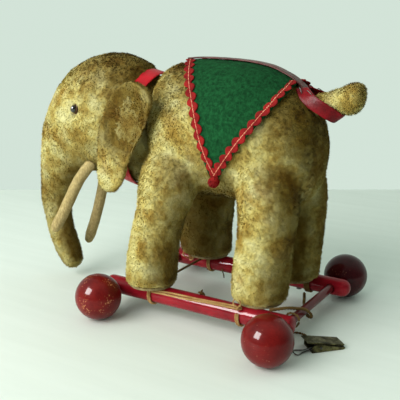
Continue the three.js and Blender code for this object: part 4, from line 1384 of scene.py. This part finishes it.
CLIP_LOOP = [
    (-0.0143, -0.0044, 0.0009),
    (-0.014, -0.0026, 0.0009),
    (-0.0125, -0.0008, 0.0009),
    (-0.006, -0.0026, 0.0012),
    (0.0, -0.0038, 0.003),
    (0.004, -0.0043, 0.0051),
    (0.0064, -0.0043, 0.00535),
    (0.0082, -0.0043, 0.0036),
    (0.0064, -0.0043, 0.00185),
    (0.003, -0.0046, 0.0018),
    (-0.002, -0.005, 0.0018),
    (-0.007, -0.0056, 0.0011),
    (-0.012, -0.0083, 0.0009),
    (-0.0139, -0.0076, 0.0009),
    (-0.0143, -0.0058, 0.0009),
]


def axle_loop():
    """A ring of cord round the rear axle, a little bent."""
    reach = (extent("axle_loop").x - TETHER_D) / 2
    turn = np.linspace(0, 2 * math.pi, 33)
    ring = reach * np.column_stack([np.cos(turn), 0.06 * np.sin(3 * turn), np.sin(turn)])
    return rope(np.array(centre("axle_loop")) + ring, TETHER_D, 2)


def on_clip(points):
    """Points given in the clip's own axes, which start on the floor under its thumb end."""
    pin = centre("clip_pin")
    along = np.array([math.cos(CLIP_TURN), math.sin(CLIP_TURN)])
    p = np.array(points, float)
    x = pin.x - CLIP_PIN_AT * along[0] + p[:, 0] * along[0] - p[:, 1] * along[1]
    y = pin.y - CLIP_PIN_AT * along[1] + p[:, 0] * along[1] + p[:, 1] * along[0]
    return np.column_stack([x, y, p[:, 2]])


def wire(name, node, line, diameter):
    return piece(name, *round_wire(line, diameter / 2, 10), STEEL, "steel", node)


def spring_line():
    turn = np.linspace(0, 2 * math.pi * SPRING_TURNS, 140)
    across = np.linspace(-SPRING_HALF_LENGTH, SPRING_HALF_LENGTH, len(turn))
    along = CLIP_PIN_AT + SPRING_RADIUS * np.cos(turn)
    return on_clip(np.column_stack([along, across, SPRING_HEIGHT + SPRING_RADIUS * np.sin(turn)]))


def dressed(node, material, bevel):
    """A CAD node that is shown as it is, with its corners eased."""
    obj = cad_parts[node]
    obj.data.materials.clear()
    obj.data.materials.append(material)
    modified(obj, "BEVEL", width=bevel, segments=2, limit_method="ANGLE")
    return obj


cord("axle_loop_rope", "axle_loop", OLD_CORD, axle_loop())
tether = cord("tether_rope", "tether_cord", OLD_CORD, rope(placed(TETHER), TETHER_D, 2))
tether_line = smooth_route(placed(TETHER), ROPE_STEP)
clip_wire = wire("clip_wire_loop", "clip_loop", smooth_route(on_clip(CLIP_LOOP), ROPE_STEP), CLIP_LOOP_D)
clip_coil = wire("clip_spring_wire", "clip_spring", spring_line(), SPRING_WIRE_D)
clip_pieces = [
    dressed("clip_body", BRONZE, 0.12 * MM),
    dressed("clip_jaw", BRONZE, 0.12 * MM),
    dressed("clip_pin", STEEL, 0.15 * MM),
]
for where, _, _ in CORNERS:
    dressed(f"foot_sole_{where}", SOLE_FELT, 0.4 * MM)
    dressed(f"foot_nail_{where}", STEEL, 0.1 * MM)

# --- Table, light ---

TABLE_EDGE = 0.99  # from the camera's foot to the table's far edge
TABLE_HALF_WIDTH = 1.3
TABLE_BEHIND = 0.9
TABLE_T = 0.02
WALL_COLOUR = (0.65, 0.77, 0.685)
ROOM_DIM = 0.22
LIGHT_AIM = Vector((0, 0, 0.1))

heading = np.array([-math.sin(math.radians(CAMERA_TURN)), math.cos(math.radians(CAMERA_TURN)), 0])
rightward = np.array([heading[1], -heading[0], 0])
foot = np.array([CAMERA_AT[0], CAMERA_AT[1], 0])


def table():
    """A board under the toy, squared to the camera."""
    near_edge, far_edge = foot - heading * TABLE_BEHIND, foot + heading * TABLE_EDGE
    half = rightward * TABLE_HALF_WIDTH
    corners = [near_edge - half, near_edge + half, far_edge + half, far_edge - half]
    low = [corner - np.array([0, 0, TABLE_T]) for corner in corners]
    faces = [[0, 1, 2, 3], [7, 6, 5, 4], [0, 4, 5, 1], [1, 5, 6, 2], [2, 6, 7, 3], [3, 7, 4, 0]]
    mesh = mesh_of("table_top", [*corners, *low], faces)
    mesh.materials.append(painted_table())
    added("table_top", mesh)


def area_light(name, power, size, along, across, height, colour, in_reflections=True, on_surfaces=True):
    """A soft panel, placed from the toy's middle as the camera sees it, and aimed at the toy."""
    data = bpy.data.lights.new(name, "AREA")
    data.energy = power
    data.shape = "RECTANGLE"
    data.size, data.size_y = size
    data.color = colour
    obj = added(name, data)
    obj.visible_glossy = in_reflections
    obj.visible_diffuse = on_surfaces
    obj.location = (heading * along + rightward * across + np.array([0, 0, height])).tolist()
    obj.rotation_euler = (LIGHT_AIM - obj.location).to_track_quat("-Z", "Y").to_euler()


def room():
    """A pale room, brightest ahead of the camera and above, and dimmer behind it."""
    world = bpy.data.worlds.new("room")
    world.use_nodes = True
    tree = world.node_tree
    place = shader_node(tree, "TexCoord", "Generated", {})
    inputs = {0: place, 1: (0.8 * heading + np.array([0, 0, 0.6])).tolist()}
    facing = shader_node(tree, "VectorMath", "Value", inputs, operation="DOT_PRODUCT")
    inputs = {"Value": facing, "From Min": -0.3, "From Max": 0.62, "To Min": ROOM_DIM}
    dim = shader_node(tree, "MapRange", "Result", inputs, interpolation_type="SMOOTHSTEP")
    background = tree.nodes["Background"].inputs
    background["Color"].default_value = (*WALL_COLOUR, 1)
    tree.links.new(dim, background["Strength"])
    bpy.context.scene.world = world


table()
area_light("window", 27.5, (1.3, 1.2), -0.75, -0.95, 0.7, (1.0, 0.99, 0.94), in_reflections=False)
area_light("window_shine", 45, (0.58, 0.6), -0.6, -0.87, 0.75, (1.0, 1.0, 0.98), on_surfaces=False)
room()
